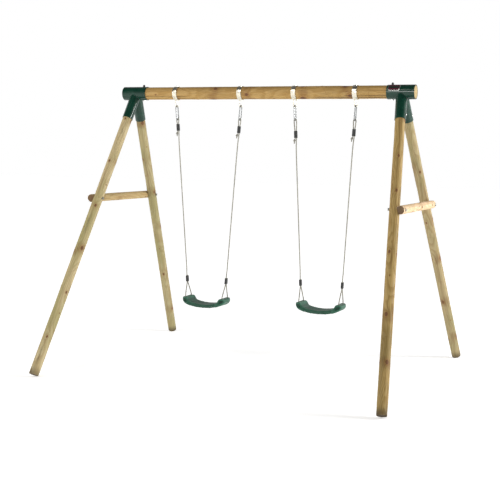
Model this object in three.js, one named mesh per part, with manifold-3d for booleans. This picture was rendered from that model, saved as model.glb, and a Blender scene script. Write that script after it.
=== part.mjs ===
// A double garden swing: a round beam carried by two A-frames of round poles, with two moulded seats on
// ropes. Millimetres, +Z up, X along the beam, -Y the front, origin on the ground under the beam's middle.
import * as THREE from "three";
import { mergeVertices } from "three/addons/utils/BufferGeometryUtils.js";
import Module from "manifold-3d";

const wasm = await Module();
wasm.setup();

// Frame: turned poles
const beamLength = 2400;
const beamDiameter = 100;
const beamHeight = 2127; // the beam's axis above the ground
const legDiameter = 76;
const footSpreadX = 232; // how far a leg leans out along the beam, from the beam's axis to the ground
const footSpreadY = 1114; // how far it leans out to the front or the back
const crossbarDiameter = 64;
const crossbarLength = 930;
const crossbarHeight = 1298;
const crossbarOffset = 48; // from the legs' axes out to the crossbar's axis; the saddle takes the overlap
const poleChamfer = 3;
const poleSides = 28;

// Corner brackets: a welded sleeve for the beam with a socket for each leg
const bracketWall = 3;
const bracketClearance = 0.5; // between a pole and the tube round it
const sleeveLength = 208;
const socketReach = 232; // from the beam's axis to a socket's mouth, along the leg
const legTopGap = 10; // between the inner rim of a leg's top and the middle plane of the A-frame

// Fasteners
const fastenerGap = 0.3; // between a fastener and the hole or face that it bears on
const boltDiameter = 10;
const screwDiameter = 8;
const beamBoltInset = 35; // from a sleeve's inner end
const beamBoltHead = { across: 17, height: 6.5 };
const boltCap = { diameter: 20, height: 16 };
const legScrewReach = 190; // from the beam's axis, along the leg
const legScrew = { length: 40, headDiameter: 16, headHeight: 5 };
const crossbarBoltHead = { diameter: 24, height: 6 };
const crossbarNut = { across: 17, height: 8, seat: 1.5 };
const strapScrew = { length: 42, across: 13, height: 5.5 };

// Hangers: a steel band round the beam with a welded loop below it
const hangerPlaces = [
  { swing: "left", side: "left", x: -730, block: 136 },
  { swing: "left", side: "right", x: -176, block: 150 },
  { swing: "right", side: "left", x: 270, block: 182 },
  { swing: "right", side: "right", x: 751, block: 164 },
]; // block is how far down the rope its adjuster was slid
const strapWidth = 35;
const strapThickness = 3;
const strapClearance = 0.4;
const loopRod = 8;
const loopBend = 11; // radius of the loop's centreline
const loopDrop = 106; // from the beam's axis to the middle of the loop's lowest rod

// Spring hooks
const hookRod = 9;
const hookLength = 120;
const hookWidth = 44;
const hookGap = 0.3; // between the hook and the loop's rod, and between the rope and the hook
const gatePivotRise = 7; // from the lower bow's centre up to the gate's pin
const gateTongue = 4;
const gateSlot = 5;
const gateTip = 0.5; // between the gate's tip and the nose
const noseLength = 8;
const pinDiameter = 4;
const pinClearance = 0.5;

// Ropes, the blocks that shorten them and the clamps above the seats
const ropeDiameter = 9;
const ropeSides = 8;
const ropeClearance = 0.5;
const ropePitch = 11; // between the two runs of rope in a block or clamp
const blockWall = 2.5;
const blockLength = 52;
const clampWall = 4;
const clampLength = 46;
const knotDiameter = 18;
const ropeTail = 42;

// Seats
const seats = {
  left: { x: -451, top: 521, clampRise: 114 },
  right: { x: 513, top: 545, clampRise: 119 },
}; // top is the height of its ends; clampRise is from there up to the clamp
const seatLength = 370;
const seatDepth = 155;
const seatCorner = 35;
const ropeHoleSpacing = { x: 320, y: 104 };
const ropeHoleCorner = 9; // radius of the rope's turns under the seat
const ropeUnderSeat = 41; // from the seat's top down to the rope's middle
const deckWall = 6;
const seatRib = 4;
const deckProfile = [
  [0, -53],
  [50, -50],
  [90, -43],
  [116, -36],
  [128, -24],
  [136, -5],
  [142, 0],
  [172, 0],
  [180, -2],
  [185, -10],
]; // half of the top from the middle out, below the ends' height
const undersideProfile = [
  [185, -24],
  [178, -36],
  [165, -48],
  [150, -57],
  [120, -68],
  [80, -77],
  [40, -81],
  [0, -82],
];
const pocketEdges = [-114, -58, 0, 58, 114]; // the underside's cells, along the seat

// Plain plate on the right bracket
const plate = { width: 90, thickness: 1.5, low: 8, high: 70, inset: 12 };

const finishes = {
  beamWood: { color: 0xb48a4a, roughness: 0.8, metalness: 0 },
  legWood: { color: 0xb7a673, roughness: 0.85, metalness: 0 },
  greenPaint: { color: 0x14382c, roughness: 0.25, metalness: 0 },
  zinc: { color: 0xc9c9c4, roughness: 0.35, metalness: 1 },
  blackPlastic: { color: 0x161817, roughness: 0.5, metalness: 0 },
  rope: { color: 0xa9a697, roughness: 0.9, metalness: 0 },
  greenPlastic: { color: 0x2e5746, roughness: 0.5, metalness: 0 },
  plateEnamel: { color: 0x571d2c, roughness: 0.3, metalness: 0 },
};

const swingSet = new THREE.Group();

function place(name, shape, finish, parent = swingSet) {
  const geometry = shape instanceof THREE.BufferGeometry ? shape : geometryOf(shape);
  const mesh = new THREE.Mesh(geometry, new THREE.MeshStandardMaterial(finishes[finish]));
  mesh.name = name;
  parent.add(mesh);
  return mesh;
}

// A closed geometry as a manifold-3d solid, and the way back.
function solidOf(geometry) {
  const bare = geometry.index ? geometry.toNonIndexed() : geometry.clone();
  for (const attribute of ["normal", "uv"]) bare.deleteAttribute(attribute);
  const merged = mergeVertices(bare, 1e-4);
  const vertProperties = merged.attributes.position.array;
  const triVerts = new Uint32Array(merged.index.array);
  return new wasm.Manifold(new wasm.Mesh({ numProp: 3, vertProperties, triVerts }));
}

function geometryOf(solid) {
  const { numProp, vertProperties, triVerts } = solid.getMesh();
  const geometry = new THREE.BufferGeometry();
  const positions = new THREE.InterleavedBuffer(vertProperties, numProp);
  geometry.setAttribute("position", new THREE.InterleavedBufferAttribute(positions, 3, 0));
  geometry.setIndex(new THREE.BufferAttribute(triVerts, 1));
  const flat = geometry.toNonIndexed();
  flat.computeVertexNormals();
  return flat;
}

const joined = (...solids) => solids.reduce((all, next) => all.add(next));
const cut = (solid, ...cutters) => cutters.reduce((left, next) => left.subtract(next), solid);
const vector = (x, y, z) => new THREE.Vector3(x, y, z);

// A turned solid: the profile's [radius, distance] pairs run along the axis from one point towards another,
// with one row of corners on the side of the reference direction.
function turned(profile, from, toward, sides, reference = vector(0, 0, -1)) {
  const axis = toward.clone().sub(from).normalize();
  const side = reference.clone().addScaledVector(axis, -reference.dot(axis));
  if (side.length() < 1e-6) side.set(1, 0, 0).addScaledVector(axis, -axis.x);
  side.normalize();
  const third = new THREE.Vector3().crossVectors(axis, side);
  const lathe = new THREE.LatheGeometry(
    profile.map(([radius, along]) => new THREE.Vector2(radius, along)),
    sides,
  );
  const basis = new THREE.Matrix4().makeBasis(third, axis, side).setPosition(from);
  return solidOf(lathe.applyMatrix4(basis));
}

const rod = (radius, length, chamfer = 0) =>
  chamfer > 0
    ? [[0, 0], [radius - chamfer, 0], [radius, chamfer], [radius, length - chamfer], [radius - chamfer, length], [0, length]]
    : [[0, 0], [radius, 0], [radius, length], [0, length]];

function rodBetween(from, toward, radius, sides, chamfer = 0, reference) {
  return turned(rod(radius, from.distanceTo(toward), chamfer), from, toward, sides, reference);
}

const dome = (radius, height) => [
  [0, 0],
  [radius, 0],
  [radius * 0.94, height * 0.45],
  [radius * 0.62, height * 0.85],
  [0, height],
];

// A tube along a route, with a ring at each of the route's points
class Route extends THREE.CatmullRomCurve3 {
  constructor(points) {
    super(points, false, "centripetal");
  }
  getPointAt(t) {
    return this.getPoint(t);
  }
  getTangentAt(t) {
    return this.getTangent(t);
  }
}

function ring(radius, sides) {
  const corners = [];
  for (let i = 0; i < sides; i++) {
    const turn = (2 * Math.PI * (i + 0.5)) / sides;
    corners.push(new THREE.Vector2(radius * Math.cos(turn), radius * Math.sin(turn)));
  }
  return new THREE.Shape(corners);
}

function tube(points, radius, sides) {
  const extrudePath = new Route(points);
  const steps = points.length - 1;
  return solidOf(new THREE.ExtrudeGeometry(ring(radius, sides), { extrudePath, steps, bevelEnabled: false }));
}

// A box or a rounded block by its middle and its sides.
function block(middle, [x, y, z], corner = 0) {
  if (corner === 0) return solidOf(new THREE.BoxGeometry(x, y, z).translate(...middle.toArray()));
  const outline = roundedRectangle(x, y, corner, 3);
  const geometry = new THREE.ExtrudeGeometry(outline, { depth: z, bevelEnabled: false });
  return solidOf(geometry.translate(middle.x, middle.y, middle.z - z / 2));
}

function roundedRectangle(width, height, corner, cornerSteps) {
  const corners = [];
  for (let quarter = 0; quarter < 4; quarter++) {
    const centreX = (width / 2 - corner) * (quarter === 0 || quarter === 3 ? 1 : -1);
    const centreY = (height / 2 - corner) * (quarter < 2 ? 1 : -1);
    for (let i = 0; i <= cornerSteps; i++) {
      const turn = ((quarter + i / cornerSteps) * Math.PI) / 2;
      corners.push(new THREE.Vector2(centreX + corner * Math.cos(turn), centreY + corner * Math.sin(turn)));
    }
  }
  return new THREE.Shape(corners);
}

// Poles: where each leg runs, and the crossbar outside each pair
const beamRadius = beamDiameter / 2;
const legRadius = legDiameter / 2;
const crossbarRadius = crossbarDiameter / 2;
const bracketX = beamLength / 2 - sleeveLength / 2;
const hexagon = 6;
const boltSides = 12;
const legs = [];
for (const [endName, outward] of [["left", -1], ["right", 1]]) {
  for (const [faceName, face] of [["front", -1], ["back", 1]]) {
    const apex = vector(outward * bracketX, 0, beamHeight);
    const ground = vector(outward * (bracketX + footSpreadX), face * footSpreadY, 0);
    const axis = ground.clone().sub(apex).normalize();
    const lean = Math.sqrt(1 - axis.z * axis.z);
    const footRise = (legRadius - poleChamfer) * lean; // the foot stands on the lower edge of its square cut
    const acrossLean = Math.sqrt(1 - axis.y * axis.y);
    const topReach = (legRadius * acrossLean + legTopGap) / Math.abs(axis.y);
    const footReach = (footRise - beamHeight) / axis.z;
    const at = (reach) => apex.clone().addScaledVector(axis, reach);
    legs.push({ name: `${endName}_${faceName}`, outward, face, axis, at, topReach, footReach });
  }
}

function crossbarPlace(leg) {
  const reach = (crossbarHeight - beamHeight) / leg.axis.z;
  const crossing = leg.at(reach);
  return { crossing, x: crossing.x + leg.outward * crossbarOffset };
}

// Fasteners, made before the pieces that they pass through
function legScrewAxis(leg) {
  const seat = leg.at(legScrewReach);
  const out = vector(leg.outward, 0, 0);
  out.addScaledVector(leg.axis, -out.dot(leg.axis)).normalize();
  return { seat, out };
}

const socketRadius = legRadius + bracketClearance + bracketWall;
const sleeveRadius = beamRadius + bracketClearance + bracketWall;
const strapRadius = beamRadius + strapClearance + strapThickness;

function legScrewSolid(leg, grow = 0) {
  const { seat, out } = legScrewAxis(leg);
  const face = seat.clone().addScaledVector(out, socketRadius + fastenerGap);
  const tip = face.clone().addScaledVector(out, -legScrew.length - grow);
  const shank = rodBetween(tip, face.clone().add(out), screwDiameter / 2 + grow, boltSides);
  if (grow > 0) return shank;
  const beyond = face.clone().add(out);
  return joined(shank, turned(dome(legScrew.headDiameter / 2, legScrew.headHeight), face, beyond, boltSides));
}

function crossbarBoltSolid(leg, grow = 0) {
  const { crossing, x } = crossbarPlace(leg);
  const legHalf = legRadius / Math.sqrt(1 - leg.axis.x * leg.axis.x);
  const outer = vector(x + leg.outward * (crossbarRadius + fastenerGap), crossing.y, crossing.z);
  const inner = vector(crossing.x - leg.outward * (legHalf + crossbarNut.seat), crossing.y, crossing.z);
  const shank = rodBetween(inner, outer, boltDiameter / 2 + grow, boltSides);
  if (grow > 0) return shank;
  const inward = vector(-leg.outward, 0, 0);
  const head = turned(
    dome(crossbarBoltHead.diameter / 2, crossbarBoltHead.height),
    outer,
    outer.clone().sub(inward),
    boltSides,
  );
  const nutRadius = crossbarNut.across / Math.sqrt(3);
  const nut = turned(rod(nutRadius, crossbarNut.height), inner, inner.clone().add(inward), hexagon);
  return joined(shank, head, nut);
}

function beamBoltSolid(outward, grow = 0) {
  const x = outward * (bracketX - sleeveLength / 2 + beamBoltInset);
  const bottom = vector(x, 0, beamHeight - sleeveRadius - fastenerGap);
  const top = vector(x, 0, beamHeight + sleeveRadius + boltCap.height * 0.6);
  const shank = rodBetween(bottom, top, boltDiameter / 2 + grow, boltSides);
  if (grow > 0) return shank;
  const headRadius = beamBoltHead.across / Math.sqrt(3);
  const headProfile = rod(headRadius, beamBoltHead.height);
  return joined(shank, turned(headProfile, bottom, vector(x, 0, 0), hexagon, vector(1, 0, 0)));
}

function boltCapSolid(outward) {
  const x = outward * (bracketX - sleeveLength / 2 + beamBoltInset);
  const seat = vector(x, 0, beamHeight + sleeveRadius + fastenerGap);
  const radius = boltCap.diameter / 2;
  const cap = turned(dome(radius, boltCap.height), seat, vector(x, 0, beamHeight * 2), 16, vector(1, 0, 0));
  return cut(cap, beamBoltSolid(outward, fastenerGap));
}

function strapScrewSolid(x, grow = 0) {
  const face = vector(x, 0, beamHeight + strapRadius + fastenerGap);
  const tip = face.clone().add(vector(0, 0, -strapScrew.length - grow));
  const shank = rodBetween(tip, face, screwDiameter / 2 + grow, boltSides, 0, vector(1, 0, 0));
  if (grow > 0) return shank;
  const head = rod(strapScrew.across / Math.sqrt(3), strapScrew.height);
  return joined(shank, turned(head, face, vector(x, 0, beamHeight * 2), hexagon, vector(1, 0, 0)));
}

// Beam
const beamEnd = vector(beamLength / 2, 0, beamHeight);
const beamStart = vector(-beamLength / 2, 0, beamHeight);
place(
  "beam",
  cut(
    rodBetween(beamStart, beamEnd, beamRadius, poleSides, poleChamfer),
    ...[-1, 1].map((outward) => beamBoltSolid(outward, fastenerGap)),
    ...hangerPlaces.map(({ x }) => strapScrewSolid(x, fastenerGap)),
  ),
  "beamWood",
);

// Legs, each with the holes for its socket's screw and the crossbar's bolt
for (const leg of legs) {
  const pole = rodBetween(leg.at(leg.topReach), leg.at(leg.footReach), legRadius, poleSides, poleChamfer);
  place(
    `leg_${leg.name}`,
    cut(pole, legScrewSolid(leg, fastenerGap), crossbarBoltSolid(leg, fastenerGap)),
    "legWood",
  );
}

// Crossbars, saddled over the legs
for (const [endName, outward] of [["left", -1], ["right", 1]]) {
  const pair = legs.filter((leg) => leg.outward === outward);
  const { x } = crossbarPlace(pair[0]);
  const front = vector(x, -crossbarLength / 2, crossbarHeight);
  const back = vector(x, crossbarLength / 2, crossbarHeight);
  const pole = rodBetween(front, back, crossbarRadius, poleSides, poleChamfer);
  const saddles = pair.map((leg) =>
    rodBetween(leg.at(leg.topReach), leg.at(leg.footReach), legRadius + fastenerGap, poleSides),
  );
  const holes = pair.map((leg) => crossbarBoltSolid(leg, fastenerGap));
  place(`crossbar_${endName}`, cut(pole, ...saddles, ...holes), "legWood");
}

// Corner brackets
for (const [endName, outward] of [["left", -1], ["right", 1]]) {
  const pair = legs.filter((leg) => leg.outward === outward);
  const tubes = pair.map((leg) => rodBetween(leg.at(0), leg.at(socketReach), socketRadius, poleSides));
  const boreRadius = legRadius + bracketClearance;
  const bores = pair.map((leg) => rodBetween(leg.at(beamRadius / 2), leg.at(socketReach + 10), boreRadius, poleSides));
  const inner = vector(outward * (bracketX - sleeveLength / 2), 0, beamHeight);
  const outer = vector(outward * (bracketX + sleeveLength / 2), 0, beamHeight);
  const spare = vector(10 * outward, 0, 0);
  const sleeve = rodBetween(inner, outer, sleeveRadius, poleSides);
  const sleeveBore = rodBetween(
    inner.clone().sub(spare),
    outer.clone().add(spare),
    beamRadius + bracketClearance,
    poleSides,
  );
  const screwHoles = pair.map((leg) => legScrewSolid(leg, fastenerGap));
  const sockets = cut(joined(...tubes), ...bores);
  const bracket = cut(joined(sockets, sleeve), sleeveBore, beamBoltSolid(outward, fastenerGap), ...screwHoles);
  place(`bracket_${endName}`, bracket, "greenPaint");
  place(`beam_bolt_${endName}`, beamBoltSolid(outward), "zinc");
  place(`bolt_cap_${endName}`, boltCapSolid(outward), "blackPlastic");
}

for (const leg of legs) {
  place(`leg_screw_${leg.name}`, legScrewSolid(leg), "zinc");
  place(`crossbar_bolt_${leg.name}`, crossbarBoltSolid(leg), "zinc");
}

// Plain plate: a thin curved sheet bent to the right sleeve's front
{
  const section = new THREE.Shape();
  const steps = 8;
  const radians = (degrees) => (degrees * Math.PI) / 180;
  const inside = sleeveRadius + fastenerGap;
  const onArc = (radius, share) => {
    const turn = radians(plate.low + (plate.high - plate.low) * share);
    return [-radius * Math.cos(turn), radius * Math.sin(turn)];
  };
  section.moveTo(...onArc(inside, 0));
  for (let i = 1; i <= steps; i++) section.lineTo(...onArc(inside, i / steps));
  for (let i = steps; i >= 0; i--) section.lineTo(...onArc(inside + plate.thickness, i / steps));
  const sheet = new THREE.ExtrudeGeometry(section, { depth: plate.width, bevelEnabled: false });
  const basis = new THREE.Matrix4().makeBasis(vector(0, 1, 0), vector(0, 0, 1), vector(1, 0, 0));
  basis.setPosition(bracketX - sleeveLength / 2 + plate.inset, 0, beamHeight);
  place("name_plate", solidOf(sheet.applyMatrix4(basis)), "plateEnamel");
}

// Hanger straps: a band closed under the beam, with a loop of round rod welded to it
function strapSolid(x) {
  const inside = beamRadius + strapClearance;
  const half = strapWidth / 2;
  const bandProfile = [[inside, -half], [strapRadius, -half], [strapRadius, half], [inside, half], [inside, -half]];
  const middle = vector(x, 0, beamHeight);
  const band = turned(bandProfile, middle, vector(x + 1, 0, beamHeight), poleSides);
  const weld = beamRadius + strapClearance + strapThickness / 2;
  const bendCentre = loopDrop - loopBend;
  const points = [vector(x - loopBend, 0, beamHeight - weld), vector(x - loopBend, 0, beamHeight - bendCentre)];
  const bendSteps = 6;
  for (let i = 1; i < bendSteps; i++) {
    const turn = (Math.PI * i) / bendSteps;
    const across = -loopBend * Math.cos(turn);
    points.push(vector(x + across, 0, beamHeight - bendCentre - loopBend * Math.sin(turn)));
  }
  points.push(vector(x + loopBend, 0, beamHeight - bendCentre), vector(x + loopBend, 0, beamHeight - weld));
  return cut(joined(band, tube(points, loopRod / 2, ropeSides)), strapScrewSolid(x, fastenerGap));
}

// One side of a swing hangs on a straight line from its loop's rod to the middle of its two seat holes.
function lineOf(hanger) {
  const seat = seats[hanger.swing];
  const pivot = vector(hanger.x, 0, beamHeight - loopDrop);
  const sideways = hanger.side === "left" ? -1 : 1;
  const holeX = seat.x + (sideways * ropeHoleSpacing.x) / 2;
  const foot = vector(holeX, 0, seat.top);
  const down = foot.clone().sub(pivot).normalize();
  const across = vector(-down.z, 0, down.x);
  const at = (acrossBy, frontBy, downBy) =>
    pivot.clone().addScaledVector(across, acrossBy).addScaledVector(down, downBy).add(vector(0, frontBy, 0));
  return { pivot, holeX, seat, at, down, across, reach: pivot.distanceTo(foot) };
}

// A piece modelled with the loop's rod at its origin and the rope's line down -Z, turned onto the line
function onLine(solid, line) {
  const back = new THREE.Vector3().crossVectors(line.down.clone().negate(), line.across);
  const basis = new THREE.Matrix4().makeBasis(line.across, back, line.down.clone().negate());
  return solidOf(geometryOf(solid).applyMatrix4(basis.setPosition(line.pivot)));
}

const hookRadius = hookRod / 2;
const hookHalf = (hookWidth - hookRod) / 2;
const hookTop = loopRod / 2 + hookGap + hookRadius;
const upperBow = hookTop - hookHalf;
const hookBottom = hookTop - (hookLength - hookRod);
const lowerBow = hookBottom + hookHalf;
const gatePivot = lowerBow + gatePivotRise;
const noseEnd = upperBow - noseLength;

function pinSolid(grow = 0) {
  const half = hookRadius + 1.2 + grow;
  const from = vector(-half, hookHalf, gatePivot);
  const shank = rodBetween(from, vector(half, hookHalf, gatePivot), pinDiameter / 2 + grow, boltSides);
  if (grow > 0) return shank;
  const rivet = rod(pinDiameter * 0.72, 0.9);
  const heads = [-1, 1].map((sideways) => {
    const seat = vector(sideways * (hookRadius + fastenerGap), hookHalf, gatePivot);
    return turned(rivet, seat, seat.clone().add(vector(sideways, 0, 0)), boltSides);
  });
  return joined(shank, ...heads);
}

function hookSolid() {
  const points = [vector(0, hookHalf, gatePivot + gateTongue)];
  const bowSteps = 8;
  for (const [centre, start] of [[lowerBow, 0], [upperBow, Math.PI]]) {
    for (let i = 0; i <= bowSteps; i++) {
      const turn = start + (Math.PI * i) / bowSteps;
      points.push(vector(0, hookHalf * Math.cos(turn), centre - hookHalf * Math.sin(turn)));
    }
  }
  points.push(vector(0, hookHalf, noseEnd));
  const thick = hookRod + 2;
  const tongueTop = gatePivot + gateTongue;
  const tongueHeight = tongueTop - lowerBow;
  const cheeks = [-1, 1].map((sideways) => {
    const middle = vector(sideways * (gateTongue / 2 + thick / 2), hookHalf, lowerBow + tongueHeight / 2 + 0.5);
    return block(middle, [thick, thick, tongueHeight + 1]);
  });
  return cut(tube(points, hookRadius, 10), ...cheeks, pinSolid(pinClearance));
}

function gateSolid() {
  const low = vector(0, hookHalf, gatePivot - gateTongue);
  const high = vector(0, hookHalf, noseEnd - gateTip);
  const stem = rodBetween(low, high, hookRadius - 0.3, 10, 0.8, vector(0, 1, 0));
  const slotHeight = gateTongue * 2 + 4;
  const slotMiddle = vector(0, hookHalf, gatePivot - gateTongue - 1 + slotHeight / 2);
  return cut(stem, block(slotMiddle, [gateSlot, hookRod + 2, slotHeight]), pinSolid(pinClearance));
}

// The rope: from its knotted tail up through the adjuster, over the hook's lower bow, back down through the
// adjuster to the clamp, down the front hole, across under the seat and up the back hole to the clamp.
const ropeRadius = ropeDiameter / 2;
const eyeRadius = hookRadius + hookGap + ropeRadius;

function ropeRoute(hanger) {
  const line = lineOf(hanger);
  const { at, holeX, seat } = line;
  const half = ropePitch / 2;
  const blockTop = hanger.block;
  const blockBottom = blockTop + blockLength;
  const clampTop = line.reach - seat.clampRise - clampLength;
  const clampBottom = clampTop + clampLength;
  const holeY = ropeHoleSpacing.y / 2;
  const under = seat.top - ropeUnderSeat;
  const points = [
    at(-half - 8, 0, blockBottom + ropeTail),
    at(-half - 7, 0, blockBottom + ropeTail / 2),
    at(-half - 1, 0, blockBottom + 7),
    at(-half, 0, blockBottom),
    at(-half, 0, blockTop),
    at(-half - 1, 0, blockTop - 8),
  ];
  for (const degrees of [180, 150, 120, 90, 60, 30, 0]) {
    const turn = (degrees * Math.PI) / 180;
    points.push(at(eyeRadius * Math.cos(turn), 0, -hookBottom - eyeRadius * Math.sin(turn)));
  }
  points.push(
    at(half + 1, 0, blockTop - 8),
    at(half, 0, blockTop),
    at(half, 0, blockBottom),
    at(half - 1, 0, blockBottom + 12),
    at(1, 0, blockBottom + 60),
    at(0, 0, blockBottom + 100),
    at(0, 0, clampTop - 80),
    at(0, -1, clampTop - 50),
    at(0, 1 - half, clampTop - 10),
    at(0, -half, clampTop),
    at(0, -half, clampBottom),
    at(0, -half - 2, clampBottom + 8),
  );
  const turn = ropeHoleCorner * (1 - Math.SQRT1_2);
  for (const face of [-1, 1]) {
    const halfLoop = [
      vector(holeX, face * holeY, seat.top + 6),
      vector(holeX, face * holeY, seat.top - 4),
      vector(holeX, face * holeY, under + ropeHoleCorner),
      vector(holeX, face * (holeY - turn), under + turn),
      vector(holeX, face * (holeY - ropeHoleCorner), under),
    ];
    points.push(...(face < 0 ? halfLoop : halfLoop.reverse()));
  }
  points.push(at(0, half + 2, clampBottom + 8), at(0, half, clampBottom), at(0, half, clampTop - 4));
  return points;
}

function knotSolid(hanger) {
  const { at } = lineOf(hanger);
  const blockBottom = hanger.block + blockLength;
  const middle = at(-ropePitch / 2 - 7, 0, blockBottom + ropeTail / 2);
  const ball = new THREE.SphereGeometry(knotDiameter / 2, 10, 7);
  return solidOf(ball.rotateX(Math.PI / 2).translate(...middle.toArray()));
}

const ropeSolid = (hanger, radius) => tube(ropeRoute(hanger), radius, ropeSides);

// A block with two bores for the rope, side by side along the beam or from front to back
function twinBlock(top, length, wall, alongBeam, line) {
  const narrow = ropeDiameter + 2 * (ropeClearance + wall);
  const wide = narrow + ropePitch;
  const sides = alongBeam ? [wide, narrow, length] : [narrow, wide, length];
  const body = block(vector(0, 0, -top - length / 2), sides, narrow * 0.3);
  const bores = [-0.5, 0.5].map((side) => {
    const offset = side * ropePitch;
    const from = alongBeam ? vector(offset, 0, 5 - top) : vector(0, offset, 5 - top);
    const toward = from.clone().add(vector(0, 0, -length - 10));
    return rodBetween(from, toward, ropeRadius + ropeClearance, boltSides);
  });
  return onLine(cut(body, ...bores), line);
}

for (const hanger of hangerPlaces) {
  const name = `${hanger.swing}_${hanger.side}`;
  const line = lineOf(hanger);
  const clampTop = line.reach - line.seat.clampRise - clampLength;
  place(`hanger_strap_${name}`, strapSolid(hanger.x), "zinc");
  place(`strap_screw_${name}`, strapScrewSolid(hanger.x), "zinc");
  place(`hook_${name}`, onLine(hookSolid(), line), "zinc");
  place(`gate_${name}`, onLine(gateSolid(), line), "zinc");
  place(`gate_pin_${name}`, onLine(pinSolid(), line), "zinc");
  place(`rope_${name}`, joined(ropeSolid(hanger, ropeRadius), knotSolid(hanger)), "rope");
  place(`rope_adjuster_${name}`, twinBlock(hanger.block, blockLength, blockWall, true, line), "blackPlastic");
  place(`rope_clamp_${name}`, twinBlock(clampTop, clampLength, clampWall, false, line), "blackPlastic");
}

// Seats: a sagging deck between two raised ends, ribbed underneath
function deckHeight(x) {
  const reach = Math.abs(x);
  const next = deckProfile.findIndex(([along]) => along >= reach);
  if (next <= 0) return deckProfile[0][1];
  const [fromX, fromZ] = deckProfile[next - 1];
  const [toX, toZ] = deckProfile[next];
  return fromZ + ((toZ - fromZ) * (reach - fromX)) / (toX - fromX);
}

// Extrudes an outline drawn in X and Z from one Y to another
function across(outline, fromY, toY) {
  const shape = new THREE.Shape(outline.map(([x, z]) => new THREE.Vector2(x, z)));
  const geometry = new THREE.ExtrudeGeometry(shape, { depth: toY - fromY, bevelEnabled: false });
  return solidOf(geometry.rotateX(Math.PI / 2).translate(0, toY, 0));
}

function seatSolid() {
  const scale = seatLength / (2 * deckProfile.at(-1)[0]);
  const half = [...deckProfile, ...undersideProfile];
  const outline = half.map(([x, z]) => [x * scale, z]);
  const mirrored = half
    .slice(1, -1)
    .reverse()
    .map(([x, z]) => [-x * scale, z]);
  const profile = across([...outline, ...mirrored], -seatDepth / 2, seatDepth / 2);
  const plan = block(vector(0, 0, -60), [seatLength, seatDepth, 200], seatCorner);
  const pockets = [];
  for (let i = 0; i + 1 < pocketEdges.length; i++) {
    const from = (pocketEdges[i] + seatRib / 2) * scale;
    const to = (pocketEdges[i + 1] - seatRib / 2) * scale;
    const cell = [[from, -200], [to, -200]];
    for (const share of [1, 0.5, 0]) {
      const x = from + (to - from) * share;
      cell.push([x, deckHeight(x / scale) - deckWall]);
    }
    for (const face of [-1, 1]) {
      const nearY = (face * seatRib) / 2;
      const farY = face * (seatDepth / 2 - deckWall);
      pockets.push(across(cell, Math.min(nearY, farY), Math.max(nearY, farY)));
    }
  }
  return cut(profile.intersect(plan), ...pockets);
}

for (const [swing, seat] of Object.entries(seats)) {
  const moulding = geometryOf(seatSolid()).translate(seat.x, 0, seat.top);
  const own = hangerPlaces.filter((hanger) => hanger.swing === swing);
  const channels = own.flatMap((hanger) => {
    const { holeX } = lineOf(hanger);
    const width = ropeDiameter + 2 * ropeClearance;
    const run = ropeHoleSpacing.y - 2 * ropeHoleCorner;
    const middle = vector(holeX, 0, seat.top - ropeUnderSeat - 20);
    return [ropeSolid(hanger, ropeRadius + ropeClearance), block(middle, [width, run, 40])];
  });
  place(`seat_${swing}`, cut(solidOf(moulding), ...channels), "greenPlastic");
}

export default swingSet;
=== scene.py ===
"""A double garden swing set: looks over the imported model. Metres, +X along the beam, -Y the front, +Z up."""

import math
import random

import bmesh
import bpy
from mathutils import Matrix, Vector, noise


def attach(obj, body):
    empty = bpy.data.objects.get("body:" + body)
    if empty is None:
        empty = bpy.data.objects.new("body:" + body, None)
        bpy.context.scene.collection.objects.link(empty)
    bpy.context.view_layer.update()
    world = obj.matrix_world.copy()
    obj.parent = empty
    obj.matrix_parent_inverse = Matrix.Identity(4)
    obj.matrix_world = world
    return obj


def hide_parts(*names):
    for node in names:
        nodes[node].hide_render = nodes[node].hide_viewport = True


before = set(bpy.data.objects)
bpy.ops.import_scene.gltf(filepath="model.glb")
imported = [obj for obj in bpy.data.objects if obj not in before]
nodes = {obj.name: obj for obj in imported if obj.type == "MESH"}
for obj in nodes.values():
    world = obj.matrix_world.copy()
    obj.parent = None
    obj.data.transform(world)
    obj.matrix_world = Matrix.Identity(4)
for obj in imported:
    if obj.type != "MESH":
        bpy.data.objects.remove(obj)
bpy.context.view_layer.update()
scene = bpy.context.scene
scene.view_settings.view_transform = "Standard"

# Camera and stage
# Eye level, a little above the seats and to the right of the middle, through a long lens.
EYE = Vector((3.1217, -7.4725, 1.7069))
YAW, PITCH, ROLL = 0.4048, 0.0971, -0.0161
LENS_MM, SENSOR_MM = 75.49, 36.0


def add_camera():
    ahead = Vector((-math.sin(YAW) * math.cos(PITCH), math.cos(YAW) * math.cos(PITCH), -math.sin(PITCH)))
    level = Vector((math.cos(YAW), math.sin(YAW), 0))
    below = ahead.cross(level)
    right = math.cos(ROLL) * level + math.sin(ROLL) * below
    down = math.cos(ROLL) * below - math.sin(ROLL) * level
    data = bpy.data.cameras.new("Camera")
    data.lens, data.sensor_width = LENS_MM, SENSOR_MM
    data.clip_end = 100
    camera = bpy.data.objects.new("Camera", data)
    axes = Matrix((right, -down, -ahead)).transposed()
    camera.matrix_world = Matrix.Translation(EYE) @ axes.to_4x4()
    scene.collection.objects.link(camera)
    scene.camera = camera


def add_lamp(name, place, target, size, power, colour=(1, 1, 1)):
    data = bpy.data.lights.new(name, "AREA")
    data.shape, data.size, data.energy, data.color = "SQUARE", size, power, colour
    lamp = bpy.data.objects.new(name, data)
    lamp.location = place
    lamp.rotation_euler = (Vector(target) - Vector(place)).to_track_quat("-Z", "Y").to_euler()
    scene.collection.objects.link(lamp)


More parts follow.
